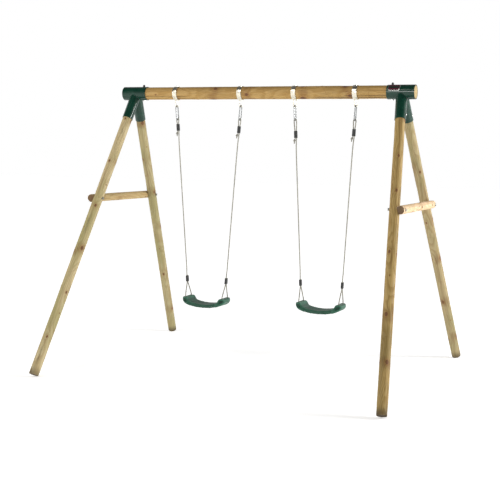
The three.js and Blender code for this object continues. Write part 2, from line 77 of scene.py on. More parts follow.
def link_mesh(name, vertices, faces, smooth=True, uv=None):
    """An object from lists of points and faces. uv gives each face corner its place, in the faces' order."""
    mesh = bpy.data.meshes.new(name)
    mesh.from_pydata([tuple(v) for v in vertices], [], faces)
    if uv is not None:
        layer = mesh.uv_layers.new(name="Route")
        layer.data.foreach_set("uv", [value for corner in uv for value in corner])
    if smooth:
        mesh.shade_smooth()
    obj = bpy.data.objects.new(name, mesh)
    scene.collection.objects.link(obj)
    return obj


class Graph:
    """Adds shader nodes to a tree. Each call returns an output socket, and takes sockets or plain values."""

    def __init__(self, tree):
        self.tree = tree

    def add(self, kind, inputs=None, output=0, **settings):
        node = self.tree.nodes.new("ShaderNode" + kind)
        for name, value in settings.items():
            setattr(node, name, value)
        for key, value in (inputs or {}).items():
            socket = node.inputs[key]
            if isinstance(value, bpy.types.NodeSocket):
                self.tree.links.new(value, socket)
            else:
                socket.default_value = value
        return node.outputs[output]

    def math(self, operation, a, b=0.0, clamp=False):
        return self.add("Math", {0: a, 1: b}, operation=operation, use_clamp=clamp)

    def vector(self, operation, a, b=(0, 0, 0), output=0):
        return self.add("VectorMath", {0: a, 1: b}, output, operation=operation)

    def parts(self, vector):
        node = self.tree.nodes.new("ShaderNodeSeparateXYZ")
        self.tree.links.new(vector, node.inputs[0])
        return node.outputs[0], node.outputs[1], node.outputs[2]

    def join(self, x, y, z):
        return self.add("CombineXYZ", {0: x, 1: y, 2: z})

    def noise(self, vector, scale, detail=3.0, rough=0.5, output="Fac"):
        inputs = {"Vector": vector, "Scale": scale, "Detail": detail, "Roughness": rough}
        return self.add("TexNoise", inputs, output)

    def remap(self, value, low, high, to_low=0.0, to_high=1.0):
        inputs = {"Value": value, "From Min": low, "From Max": high, "To Min": to_low, "To Max": to_high}
        return self.add("MapRange", inputs, interpolation_type="SMOOTHSTEP")

    def mix(self, factor, a, b, blend="MIX"):
        node = self.tree.nodes.new("ShaderNodeMix")
        node.data_type, node.blend_type = "RGBA", blend
        for key, value in ((0, factor), (6, a), (7, b)):
            if isinstance(value, bpy.types.NodeSocket):
                self.tree.links.new(value, node.inputs[key])
            else:
                node.inputs[key].default_value = value
        return node.outputs[2]


SURFACE = {"Color": "Color", "Roughness": "Float", "Height": "Float"}


def node_group(name, inputs, outputs):
    """A new shader node group: its graph, a dict of its inputs and a function that sets its outputs."""
    tree = bpy.data.node_groups.new(name, "ShaderNodeTree")
    for label, kind in inputs.items():
        tree.interface.new_socket(label, in_out="INPUT", socket_type="NodeSocket" + kind)
    for label, kind in outputs.items():
        tree.interface.new_socket(label, in_out="OUTPUT", socket_type="NodeSocket" + kind)
    given = tree.nodes.new("NodeGroupInput")
    result = tree.nodes.new("NodeGroupOutput")

    def give(**values):
        for label, socket in values.items():
            tree.links.new(socket, result.inputs[label])

    return Graph(tree), {label: given.outputs[label] for label in inputs}, give


def material(name, group=None, values=None, bump_mm=0.3, strength=0.6, **numbers):
    """A Principled material. The group's Color, Roughness and Height feed it; numbers set its own sockets."""
    made = bpy.data.materials.new(name)
    made.use_nodes = True
    tree = made.node_tree
    shader = tree.nodes["Principled BSDF"]
    for key, value in numbers.items():
        shader.inputs[key.replace("_", " ")].default_value = value
    if group is not None:
        node = tree.nodes.new("ShaderNodeGroup")
        node.node_tree = bpy.data.node_groups[group]
        for key, value in (values or {}).items():
            node.inputs[key].default_value = value
        if "Color" in node.outputs:
            tree.links.new(node.outputs["Color"], shader.inputs["Base Color"])
        if "Roughness" in node.outputs:
            tree.links.new(node.outputs["Roughness"], shader.inputs["Roughness"])
        if "Glow" in node.outputs:
            tree.links.new(node.outputs["Glow"], shader.inputs["Emission Color"])
        if "Height" in node.outputs:
            bump = tree.nodes.new("ShaderNodeBump")
            bump.inputs["Distance"].default_value = bump_mm / 1000
            bump.inputs["Strength"].default_value = strength
            tree.links.new(node.outputs["Height"], bump.inputs["Height"])
            tree.links.new(bump.outputs["Normal"], shader.inputs["Normal"])
    return made


def paint(obj, made):
    obj.data.materials.clear()
    obj.data.materials.append(made)


def colour(red, green, blue):
    """A colour given as a display shows it, from 0 to 255, as the linear numbers that a shader takes."""
    def linear(value):
        value /= 255
        return value / 12.92 if value <= 0.04045 else ((value + 0.055) / 1.055) ** 2.4

    return (linear(red), linear(green), linear(blue), 1.0)


add_camera()


def add_sky():
    """White paper all round the horizon, dimmer overhead and above the camera's side."""
    world = bpy.data.worlds.new("Studio")
    world.use_nodes = True
    g = Graph(world.node_tree)
    _, back, up = g.parts(g.add("TexCoord", output="Generated"))
    front = g.remap(back, -0.35, 0.25, SKY_FRONT, 1.0)
    level = g.math("MULTIPLY", front, g.remap(up, 0.35, 0.7, 1.0, SKY_TOP))
    level = g.math("MAXIMUM", level, g.remap(up, 0.24, 0.17))
    background = world.node_tree.nodes["Background"]
    world.node_tree.links.new(level, background.inputs["Color"])
    scene.world = world


def floor_pattern():
    """The floor's own glow, a little stronger far away, so that it meets the white behind it evenly."""
    g, given, give = node_group(
        "FloorGlow", {"Near": "Float", "Far": "Float"}, {"Color": "Color", "Glow": "Color"}
    )
    space = g.add("TexCoord", output="Object")
    away = g.vector("LENGTH", g.vector("SUBTRACT", space, (0.8, -1.5, 0.0)), output="Value")
    cloud = g.noise(space, 3.0, 2)
    glow = g.remap(away, 1.0, 9.0, given["Near"], given["Far"])
    glow = g.join(glow, glow, glow)
    give(Color=g.mix(cloud, (0.895, 0.895, 0.895, 1), (0.905, 0.905, 0.905, 1)), Glow=glow)


SKY_FRONT, SKY_TOP = 0.24, 0.15
add_sky()
add_lamp("Key", (-2.5, -7.0, 6.8), (0.3, 0, 1.6), 1.8, 170, (1.0, 0.97, 0.92))
add_lamp("Strip", (-0.4, -5.9, 2.55), (1.1, 0, 2.12), 0.8, 26)
add_lamp("Left", (-6.5, -4.0, 3.2), (0, 0, 1.1), 2.0, 130)
add_lamp("Right", (7.5, 2.0, 3.0), (0.8, 0, 1.1), 2.0, 430)
FLOOR = 40.0
floor = link_mesh(
    "Floor",
    [(-FLOOR, -FLOOR, 0), (FLOOR, -FLOOR, 0), (FLOOR, FLOOR, 0), (-FLOOR, FLOOR, 0)],
    [(0, 1, 2, 3)],
    smooth=False,
)
floor_pattern()
glow = {"Near": 0.46, "Far": 0.76}
paint(floor, material("PaleFloor", "FloorGlow", glow, Roughness=0.9, Emission_Strength=1.0))


# Ropes
# Three-strand laid rope, 9 mm, one length a side: a stopper knot on its tail, the adjuster, an eye over the
# spring hook, the clamp, and a loop through the seat's two holes. It ends beside itself inside the clamp.
BEAM_Z = 2.127
LOOP_DROP = 0.106
PIVOT_Z = BEAM_Z - LOOP_DROP
HANGERS = {
    "left_left": {"x": -0.730, "block": 0.136},
    "left_right": {"x": -0.176, "block": 0.150},
    "right_left": {"x": 0.270, "block": 0.182},
    "right_right": {"x": 0.751, "block": 0.164},
}
SEATS = {
    "left": {"x": -0.451, "top": 0.521, "clamp_rise": 0.114},
    "right": {"x": 0.513, "top": 0.545, "clamp_rise": 0.119},
}
HOLE_X, HOLE_Y = 0.160, 0.052
BLOCK_LENGTH, CLAMP_LENGTH = 0.052, 0.046
ROPE, ROPE_PITCH, ROPE_TAIL = 0.009, 0.011, 0.042
LAY = 0.030  # one turn of the strands
HOOK_BOTTOM, EYE_RADIUS = 0.1022, 0.0093
ROPE_UNDER, HOLE_CORNER = 0.041, 0.009


def line_of(name):
    """The side's own axes: its pivot, the directions down the rope and across it, and how far the seat is."""
    swing, side = name.split("_")
    seat = SEATS[swing]
    pivot = Vector((HANGERS[name]["x"], 0, PIVOT_Z))
    hole_x = seat["x"] + (-HOLE_X if side == "left" else HOLE_X)
    foot = Vector((hole_x, 0, seat["top"]))
    down = (foot - pivot).normalized()
    across = Vector((-down.z, 0, down.x))
    return pivot, down, across, (foot - pivot).length, hole_x, seat


def rope_route(name):
    pivot, down, across, reach, hole_x, seat = line_of(name)

    def at(side, front, below):
        return pivot + across * side + down * below + Vector((0, front, 0))

    half = ROPE_PITCH / 2
    top = HANGERS[name]["block"]
    bottom = top + BLOCK_LENGTH
    clamp_top = reach - seat["clamp_rise"] - CLAMP_LENGTH
    clamp_bottom = clamp_top + CLAMP_LENGTH
    under = seat["top"] - ROPE_UNDER
    points = [
        at(-half - 0.008, 0, bottom + ROPE_TAIL),
        at(-half - 0.007, 0, bottom + ROPE_TAIL / 2),
        at(-half - 0.001, 0, bottom + 0.007),
        at(-half, 0, bottom),
        at(-half, 0, top),
        at(-half - 0.001, 0, top - 0.008),
    ]
    for degrees in range(180, -1, -30):
        turn = math.radians(degrees)
        points.append(at(EYE_RADIUS * math.cos(turn), 0, HOOK_BOTTOM - EYE_RADIUS * math.sin(turn)))
    points += [
        at(half + 0.001, 0, top - 0.008),
        at(half, 0, top),
        at(half, 0, bottom),
        at(half - 0.001, 0, bottom + 0.012),
        at(0.001, 0, bottom + 0.060),
        at(0, 0, bottom + 0.100),
        at(0, 0, clamp_top - 0.080),
        at(0, -0.001, clamp_top - 0.050),
        at(0, 0.001 - half, clamp_top - 0.010),
        at(0, -half, clamp_top),
        at(0, -half, clamp_bottom),
        at(0, -half - 0.002, clamp_bottom + 0.008),
    ]
    turn = HOLE_CORNER * (1 - math.sqrt(0.5))
    for face in (-1, 1):
        half_loop = [
            Vector((hole_x, face * HOLE_Y, seat["top"] + 0.006)),
            Vector((hole_x, face * HOLE_Y, seat["top"] - 0.004)),
            Vector((hole_x, face * HOLE_Y, under + HOLE_CORNER)),
            Vector((hole_x, face * (HOLE_Y - turn), under + turn)),
            Vector((hole_x, face * (HOLE_Y - HOLE_CORNER), under)),
        ]
        points += half_loop if face < 0 else half_loop[::-1]
    points += [
        at(0, half + 0.002, clamp_bottom + 0.008),
        at(0, half, clamp_bottom),
        at(0, half, clamp_top - 0.004),
    ]
    return points[::-1]


def smooth_path(points, step):
    """A centripetal Catmull-Rom line through the points, cut into even steps."""
    ends = [2 * points[0] - points[1]] + points + [2 * points[-1] - points[-2]]
    dense = []
    for a, b, c, d in zip(ends, ends[1:], ends[2:], ends[3:]):
        t1 = math.sqrt((b - a).length)
        t2 = t1 + math.sqrt((c - b).length)
        t3 = t2 + math.sqrt((d - c).length)
        for i in range(16):
            t = t1 + (t2 - t1) * i / 16
            ab = a.lerp(b, t / t1)
            bc = b.lerp(c, (t - t1) / (t2 - t1))
            cd = c.lerp(d, (t - t2) / (t3 - t2))
            abc = ab.lerp(bc, t / t2)
            bcd = bc.lerp(cd, (t - t1) / (t3 - t1))
            dense.append(abc.lerp(bcd, (t - t1) / (t2 - t1)))
    dense.append(points[-1].copy())
    return even_steps(dense, step)


def even_steps(line, step):
    total = sum((b - a).length for a, b in zip(line, line[1:]))
    count = max(2, round(total / step))
    result, walked, i = [line[0].copy()], 0.0, 0
    for k in range(1, count):
        goal = total * k / count
        while walked + (line[i + 1] - line[i]).length < goal:
            walked += (line[i + 1] - line[i]).length
            i += 1
        share = (goal - walked) / (line[i + 1] - line[i]).length
        result.append(line[i].lerp(line[i + 1], share))
    result.append(line[-1].copy())
    return result


def frames_along(path):
    """Each point of a path with two directions square to it, carried along without twisting."""
    tangents = []
    for i in range(len(path)):
        tangents.append((path[min(i + 1, len(path) - 1)] - path[max(i - 1, 0)]).normalized())
    side = tangents[0].orthogonal().normalized()
    result = []
    for i, (point, tangent) in enumerate(zip(path, tangents)):
        if i:
            side = tangents[i - 1].rotation_difference(tangent) @ side
            side = (side - tangent * side.dot(tangent)).normalized()
        result.append((point, tangent, side, tangent.cross(side)))
    return result


def tube_mesh(path, radius, sides, start=0, caps=True):
    """Points, faces and corner places of a tube. radius is a number, or one for each of the path's points."""
    vertices, faces, uv = [], [], []
    radii = radius if isinstance(radius, list) else [radius] * len(path)
    walked = 0.0
    distances = []
    for i, (point, _, side, other) in enumerate(frames_along(path)):
        walked += (path[i] - path[i - 1]).length if i else 0.0
        distances.append(walked)
        for j in range(sides):
            turn = 2 * math.pi * j / sides
            vertices.append(point + radii[i] * (math.cos(turn) * side + math.sin(turn) * other))
    for i in range(len(path) - 1):
        for j in range(sides):
            k = (j + 1) % sides
            a, b = start + i * sides, start + (i + 1) * sides
            faces.append((a + j, a + k, b + k, b + j))
            low, high, near, far = j / sides, (j + 1) / sides, distances[i], distances[i + 1]
            uv += [(low, near), (high, near), (high, far), (low, far)]
    if caps:
        first = [start + j for j in range(sides)][::-1]
        last = [start + (len(path) - 1) * sides + j for j in range(sides)]
        faces += [tuple(first), tuple(last)]
        uv += [(0.5, distances[0])] * sides + [(0.5, distances[-1])] * sides
    return vertices, faces, uv


def laid_rope(name, path, diameter):
    """Three strands wound round a path. Their corner places are turn, 0 to 1, and run in metres."""
    strand = diameter * 0.242
    orbit = diameter / 2 - strand
    vertices, faces, uv = [], [], []
    along = frames_along(path)
    for number in range(3):
        walked, line = 0.0, []
        for i, (point, _, side, other) in enumerate(along):
            walked += (path[i] - path[i - 1]).length if i else 0.0
            turn = 2 * math.pi * (walked / LAY + number / 3)
            line.append(point + orbit * (math.cos(turn) * side + math.sin(turn) * other))
        v, f, u = tube_mesh(line, strand * 1.06, 8, start=len(vertices))
        vertices += v
        faces += f
        uv += u
    return link_mesh(name, vertices, faces, uv=uv)


def stopper_knot(name, centre, axis, diameter):
    """A tail wound one and a half times round itself and pulled tight."""
    side = axis.orthogonal().normalized()
    other = axis.cross(side)
    points = []
    for i in range(15):
        share = i / 14
        turn = 2 * math.pi * 1.6 * share
        reach = diameter * 0.95 * math.sin(math.pi * min(max(share, 0.06), 0.94)) ** 0.35
        offset = axis * (share - 0.5) * diameter * 1.9
        points.append(centre + offset + reach * (math.cos(turn) * side + math.sin(turn) * other))
    return laid_rope(name, smooth_path(points, 0.002), diameter)


def rope_pattern():
    g, given, give = node_group("LaidFibre", {"Fibre": "Color", "DirtAndShade": "Color"}, SURFACE)
    place = g.add("UVMap", uv_map="Route")
    turn, run, _ = g.parts(place)
    spun = g.math("ADD", g.math("MULTIPLY", turn, 5.0), g.math("MULTIPLY", run, -210.0))
    yarn = g.math("SINE", g.math("MULTIPLY", spun, 2 * math.pi))
    space = g.add("TexCoord", output="Object")
    grime = g.remap(g.noise(space, 38, 3), 0.42, 0.72)
    hairs = g.noise(g.vector("MULTIPLY", space, (1, 1, 0.4)), 2600, 2)
    # painted shade: the valleys between the yarns are darkened; the grime blotches below are real dirt
    base = g.mix(g.remap(yarn, -1.0, 0.6, 0.55, 0.0), given["Fibre"], given["DirtAndShade"])
    base = g.mix(g.math("MULTIPLY", grime, 0.6), base, given["DirtAndShade"])
    base = g.mix(g.remap(hairs, 0.35, 0.7, 0.0, 0.35), base, given["Fibre"])
    height = g.math("ADD", g.math("MULTIPLY", yarn, 0.35), g.math("MULTIPLY", hairs, 0.5))
    rough = g.remap(hairs, 0.2, 0.8, 0.75, 0.95)
    give(Color=base, Roughness=rough, Height=height)


rope_pattern()
rope_fibre = material(
    "RopeFibre",
    "LaidFibre",
    {"Fibre": colour(176, 173, 160), "DirtAndShade": colour(86, 84, 74)},
    bump_mm=0.25,
    strength=0.8,
    Sheen_Weight=0.15,
)
for name in HANGERS:
    body = "swing_" + name.split("_")[0]
    path = smooth_path(rope_route(name), 0.0028)
    rope = laid_rope("laid_rope_" + name, path, ROPE)
    knot = stopper_knot("tail_knot_" + name, path[-9], (path[-1] - path[-16]).normalized(), ROPE * 0.86)
    for piece in (rope, knot):
        paint(piece, rope_fibre)
        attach(piece, body)
    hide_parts("rope_" + name)


# Poles: beam, legs and crossbars
# Machine-rounded pine, pressure treated: pale and greenish where the preservative took, golden on the beam.
# The rounding leaves flats and chatter, knots stand proud, and drying opens long checks and split ends.
BEAM_LENGTH, BEAM_RADIUS = 2.4, 0.05
LEG_RADIUS, BAR_RADIUS = 0.038, 0.032
BRACKET_X = 1.096
FOOT_X, FOOT_Y = 0.232, 1.114
BAR_Z, BAR_OFFSET, BAR_LENGTH = 1.298, 0.048, 0.930
POLE_CHAMFER = 0.003
POLE_AROUND = 80


def wood_pattern():
    g, given, give = node_group(
        "RoundedPine",
        {
            "Light": "Color",
            "Dark": "Color",
            "Stain": "Color",
            "Sawn": "Color",
            "Seed": "Float",
            "Length": "Float",
            "FootShade": "Float",
        },
        SURFACE,
    )
    place = g.add("TexCoord", output="Object")
    own = g.vector("ADD", place, g.join(g.math("MULTIPLY", given["Seed"], 3.7), 0.0, given["Seed"]))
    x, y, z = g.parts(place)
    _, _, own_z = g.parts(own)
    # the pith wanders along the pole, and the surface cuts through the rings round it
    drift = g.noise(g.join(given["Seed"], 0.0, own_z), 1.7, 2, output="Color")
    pith = g.vector("MULTIPLY", g.vector("SUBTRACT", drift, (0.5, 0.5, 0.5)), (0.075, 0.075, 0.0))
    flat = g.vector("SUBTRACT", g.join(x, y, 0.0), g.vector("ADD", pith, (0.009, 0.004, 0.0)))
    reach = g.vector("LENGTH", flat, output="Value")
    sway = g.noise(g.vector("MULTIPLY", own, (9, 9, 2.2)), 1.0, 3)
    offset = g.add("Attribute", output="Vector", attribute_name="knot")
    arc, rise, size = g.parts(offset)
    way = g.join(arc, g.math("MULTIPLY", rise, 0.72), 0.0)
    knot = g.math("DIVIDE", g.vector("LENGTH", way, output="Value"), size)
    swirl = g.math("DIVIDE", 3.0, g.math("ADD", g.math("POWER", knot, 2.0), 1.0))
    rings = g.math("DIVIDE", g.math("ADD", reach, g.math("MULTIPLY", sway, 0.022)), 0.0052)
    grain = g.math("FRACT", g.math("ADD", rings, swirl))
    late = g.math("MULTIPLY", g.remap(grain, 0.15, 0.86), g.remap(grain, 1.0, 0.9))
    fibre = g.noise(g.vector("MULTIPLY", own, (420, 420, 9)), 1.0, 4, 0.6)
    streak = g.noise(g.vector("MULTIPLY", own, (52, 52, 1.6)), 1.0, 4, 0.6)
    cloud = g.noise(g.vector("MULTIPLY", own, (8, 8, 2.6)), 1.0, 3)
    tone = g.mix(g.math("MULTIPLY", late, 0.40), given["Light"], given["Dark"])
    tone = g.mix(g.remap(streak, 0.50, 0.72, 0.0, 0.65), tone, given["Dark"])
    tone = g.mix(g.remap(cloud, 0.44, 0.66, 0.0, 0.7), tone, given["Stain"])
    pale = g.vector("MULTIPLY", tone, (1.22, 1.2, 1.16))
    tone = g.mix(g.remap(fibre, 0.35, 0.68), tone, pale)
    # a whorl of branches browns the wood all round the pole
    uneven = g.math("MULTIPLY", g.math("SUBTRACT", g.noise(own, 17, 3), 0.5), 0.09)
    band = g.remap(g.math("ABSOLUTE", g.math("ADD", rise, uneven)), 0.062, 0.010, 0.0, 0.62)
    band = g.math("MULTIPLY", band, g.remap(size, 0.0055, 0.010))
    tone = g.mix(band, tone, given["Dark"])
    # knots: a halo of resin, a dark ring of bark and a ringed heart
    halo = g.remap(knot, 3.0, 0.9, 0.0, 0.45)
    tone = g.mix(halo, tone, colour(150, 102, 52))
    ringed = g.math("SINE", g.math("MULTIPLY", knot, 16.0))
    heart = g.mix(g.remap(ringed, -1, 1), colour(92, 58, 30), colour(128, 84, 44))
    tone = g.mix(g.remap(knot, 1.06, 0.94), tone, heart)
    bark = g.math("MULTIPLY", g.remap(knot, 1.28, 1.08), g.remap(knot, 0.86, 1.0))
    tone = g.mix(g.math("MULTIPLY", bark, 0.8), tone, colour(58, 36, 20))
    # drying checks: thin dark lines along the grain
    wander = g.math("MULTIPLY", g.math("SUBTRACT", g.noise(g.join(0.0, 0.0, own_z), 3.0, 0), 0.5), 0.006)
    across = g.join(g.math("ADD", x, wander), g.math("SUBTRACT", y, wander), given["Seed"])
    split = g.noise(g.vector("MULTIPLY", across, (70, 70, 1)), 1.0, 1)
    near = g.math("ABSOLUTE", g.math("SUBTRACT", split, 0.5))
    where = g.remap(g.noise(g.vector("MULTIPLY", own, (11, 11, 1.9)), 1.0, 2), 0.54, 0.60)
    check = g.math("MULTIPLY", g.remap(near, 0.010, 0.003), where)
    tone = g.mix(g.math("MULTIPLY", check, 0.75), tone, colour(52, 36, 20))
    # sawn ends drink the preservative and go dark; the lowest 75 mm of each leg is painted darker, as painted
    # shade at the foot
    _, _, up = g.parts(g.add("TexCoord", output="Normal"))
    sawn = g.remap(g.math("ABSOLUTE", up), 0.75, 0.95)
    fleck = g.noise(g.vector("MULTIPLY", own, (900, 900, 60)), 1.0, 2)
    # painted shade: the leg darkens towards the ground
    foot_shade = g.math("MULTIPLY", given["FootShade"], g.remap(g.math("SUBTRACT", given["Length"], z), 0.075, 0.0))
    foot_shade = g.math("MULTIPLY", foot_shade, g.remap(cloud, 0.2, 0.6, 0.5, 1.0))
    end = g.mix(g.remap(fleck, 0.3, 0.7, 0.0, 0.4), given["Sawn"], given["Dark"])
    tone = g.mix(g.math("MULTIPLY", sawn, 0.95), tone, end)
    tone = g.mix(g.math("MULTIPLY", foot_shade, 0.85), tone, colour(64, 50, 28))
    height = g.math("ADD", g.math("MULTIPLY", fibre, 0.55), g.math("MULTIPLY", late, 0.35))
    height = g.math("SUBTRACT", height, g.math("MULTIPLY", check, 1.6))
    height = g.math("ADD", height, g.math("MULTIPLY", g.remap(knot, 1.25, 0.8), 0.5))
    rough = g.remap(g.math("ADD", fibre, late), 0.4, 1.5, 0.62, 0.86)
    give(Color=tone, Roughness=rough, Height=height)


def pole_frame(start, end):
    along = (end - start).normalized()
    side = Vector((0, 0, 1)).cross(along)
    side = side.normalized() if side.length > 1e-6 else Vector((1, 0, 0))
    axes = Matrix((side, along.cross(side), along)).transposed()
    return Matrix.Translation(start) @ axes.to_4x4()


def knots_for(length, radius, seed, apart=0.36):
    """Whorls of two or three knots, each (turn, place along, size), with single small ones between."""
    draw = random.Random(seed)
    knots, z = [], draw.uniform(0.08, 0.25)
    while z < length - 0.05:
        first = draw.uniform(0, 2 * math.pi)
        count = draw.choice((2, 3, 3))
        for i in range(count):
            turn = first + 2 * math.pi * i / count + draw.uniform(-0.35, 0.35)
            knots.append((turn, z + draw.uniform(-0.03, 0.03), radius * draw.uniform(0.13, 0.27)))
        knots.append((draw.uniform(0, 2 * math.pi), z + apart * draw.uniform(0.4, 0.6), radius * 0.08))
        z += apart * draw.uniform(0.75, 1.3)
    return knots


def nearest_knot(knots, radius, turn, z):
    """How many knot sizes away the nearest knot is, with the way to it round and along, and its size."""
    best, chosen = 1e9, (1.0, 1.0, 0.01)
    for knot_turn, knot_z, size in knots:
        rise = z - knot_z
        if abs(rise) > 0.25:
            continue
        arc = radius * ((turn - knot_turn + math.pi) % (2 * math.pi) - math.pi)
        distance = math.hypot(arc, rise * 0.72) / size
        if distance < best:
            best, chosen = distance, (arc, rise, size)
    return best, chosen


def store_knots(obj, knots, radius):
    """Gives each point the way to its nearest knot, which the wood's pattern reads."""
    ways = []
    for vertex in obj.data.vertices:
        x, y, z = vertex.co
        ways += nearest_knot(knots, radius, math.atan2(y, x), z)[1]
    old = obj.data.attributes.get("knot")
    if old is not None:
        obj.data.attributes.remove(old)
    obj.data.attributes.new("knot", "FLOAT_VECTOR", "POINT").data.foreach_set("vector", ways)


def pole(name, start, end, radius, seed):
    """A rounded pole, never wider than its radius, and its knots."""
    length = (end - start).length
    knots = knots_for(length, radius, seed)
    draw = random.Random(seed + 50)
    checks = [(draw.uniform(0, 6.28), draw.uniform(0, length), draw.uniform(0.15, 0.5)) for _ in range(7)]
    stations = [0.0, POLE_CHAMFER * 0.4, POLE_CHAMFER]
    count = round(length / 0.009)
    stations += [POLE_CHAMFER + (length - 2 * POLE_CHAMFER) * i / count for i in range(1, count)]
    stations += [length - POLE_CHAMFER, length - POLE_CHAMFER * 0.4, length]
    vertices = []

    def depth_at(turn, z, near_knot):
        x, y = math.cos(turn), math.sin(turn)
        wave = noise.noise(Vector((x * 1.3 + seed, y * 1.3, z * 2.6)))
        flat = max(0.0, noise.noise(Vector((x * 2.1, y * 2.1 + seed, z * 5.0))) - 0.15)
        chatter = 0.5 + 0.5 * math.sin(z * 2 * math.pi / 0.011 + 2 * x)
        depth = 0.0006 + 0.0011 * (0.5 + 0.5 * wave) + 0.0042 * flat + 0.00012 * chatter
        for check_turn, check_z, reach in checks:
            if abs(z - check_z) > reach:
                continue
            bend = check_turn + 0.12 * math.sin(z * 7 + check_turn)
            arc = radius * abs((turn - bend + math.pi) % (2 * math.pi) - math.pi)
            if arc < 0.0028:
                depth += 0.0022 * (1 - arc / 0.0028) * (1 - (abs(z - check_z) / reach) ** 2)
        return depth * min(1.0, near_knot / 2.6)

    for i, z in enumerate(stations):
        edge = min(i, len(stations) - 1 - i)
        inset = (POLE_CHAMFER, POLE_CHAMFER * 0.3, 0.0)[edge] if edge < 3 else 0.0
        for j in range(POLE_AROUND):
            turn = 2 * math.pi * j / POLE_AROUND
            near_knot, _ = nearest_knot(knots, radius, turn, z)
            reach = radius - 0.0002 - inset - depth_at(turn, z, near_knot)
            vertices.append((reach * math.cos(turn), reach * math.sin(turn), z))
    faces = []
    for i in range(len(stations) - 1):
        for j in range(POLE_AROUND):
            k = (j + 1) % POLE_AROUND
            a, b = i * POLE_AROUND, (i + 1) * POLE_AROUND
            faces.append((a + j, a + k, b + k, b + j))
    for z, ring, flip in ((0.0, 0, True), (length, (len(stations) - 1) * POLE_AROUND, False)):
        outer = list(range(ring, ring + POLE_AROUND))
        for share in (0.72, 0.44, 0.2):
            inner = len(vertices)
            for j in range(POLE_AROUND):
                turn = 2 * math.pi * j / POLE_AROUND
                reach = (radius - POLE_CHAMFER) * share
                rough = noise.noise(Vector((3 * math.cos(turn), 3 * math.sin(turn), seed)))
                split = 0.0016 * max(0.0, rough - 0.1)
                dip = split * share * (1 if flip else -1)
                vertices.append((reach * math.cos(turn), reach * math.sin(turn), z + dip))
            for j in range(POLE_AROUND):
                k = (j + 1) % POLE_AROUND
                face = (outer[j], outer[k], inner + k, inner + j)
                faces.append(face[::-1] if flip else face)
            outer = list(range(inner, inner + POLE_AROUND))
        faces.append(tuple(outer[::-1] if flip else outer))
    obj = link_mesh(name, vertices, faces)
    store_knots(obj, knots, radius)
    obj.matrix_world = pole_frame(start, end)
    bpy.context.view_layer.update()
    obj.data.set_sharp_from_angle(angle=math.radians(38))
    return obj, knots


wood_pattern()
beam, _ = pole("pine_beam", Vector((-1.2, 0, BEAM_Z)), Vector((1.2, 0, BEAM_Z)), BEAM_RADIUS, 3)
beam_tone = {
    "Light": colour(174, 141, 82),
    "Dark": colour(134, 96, 48),
    "Stain": colour(158, 127, 72),
    "Seed": 3.0,
    "Length": BEAM_LENGTH,
    "FootShade": 0.0,
}
beam_tone["Sawn"] = colour(176, 156, 108)
paint(beam, material("BeamPine", "RoundedPine", beam_tone, bump_mm=0.5, strength=0.7))
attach(beam, "frame")
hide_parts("beam")

LEG_TONES = {
    "left_front": (colour(185, 170, 130), colour(138, 110, 66), colour(149, 142, 91), 11.0),
    "left_back": (colour(167, 156, 117), colour(127, 101, 58), colour(142, 135, 89), 12.0),
    "right_front": (colour(164, 138, 82), colour(106, 78, 35), colour(125, 106, 57), 13.0),
    "right_back": (colour(162, 147, 108), colour(121, 93, 55), colour(128, 122, 77), 14.0),
}
leg_lines = {}
for name, (light, dark, stain, seed) in LEG_TONES.items():
    outward = -1 if name.startswith("left") else 1
    face = -1 if name.endswith("front") else 1
    apex = Vector((outward * BRACKET_X, 0, BEAM_Z))
    ground = Vector((outward * (BRACKET_X + FOOT_X), face * FOOT_Y, 0))
    axis = (ground - apex).normalized()
    foot_rise = (LEG_RADIUS - POLE_CHAMFER) * math.sqrt(1 - axis.z**2)
    top_reach = (LEG_RADIUS * math.sqrt(1 - axis.y**2) + 0.010) / abs(axis.y)
    foot_reach = (foot_rise - BEAM_Z) / axis.z
    start, end = apex + axis * top_reach, apex + axis * foot_reach
    leg_lines[name] = (apex, axis, start, end)
    leg, _ = pole("pine_leg_" + name, start, end, LEG_RADIUS, int(seed))
    tone = {"Light": light, "Dark": dark, "Stain": stain, "Seed": seed, "FootShade": 1.0}
    tone["Length"] = (end - start).length
    tone["Sawn"] = colour(70, 52, 28)
    paint(leg, material("LegPine_" + name, "RoundedPine", tone, bump_mm=0.5, strength=0.7))
    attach(leg, "frame")
    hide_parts("leg_" + name)


def combine(obj, other, operation="DIFFERENCE"):
    """Cuts the other object out of the first, or joins them, and removes the other."""
    step = obj.modifiers.new("Combine", "BOOLEAN")
    step.operation, step.solver, step.object = operation, "EXACT", other
    bake_modifiers(obj)
    bpy.data.objects.remove(other)


def bake_modifiers(obj):
    bpy.context.view_layer.update()
    shaped = obj.evaluated_get(bpy.context.evaluated_depsgraph_get())
    mesh = bpy.data.meshes.new_from_object(shaped)
    obj.modifiers.clear()
    obj.data = mesh
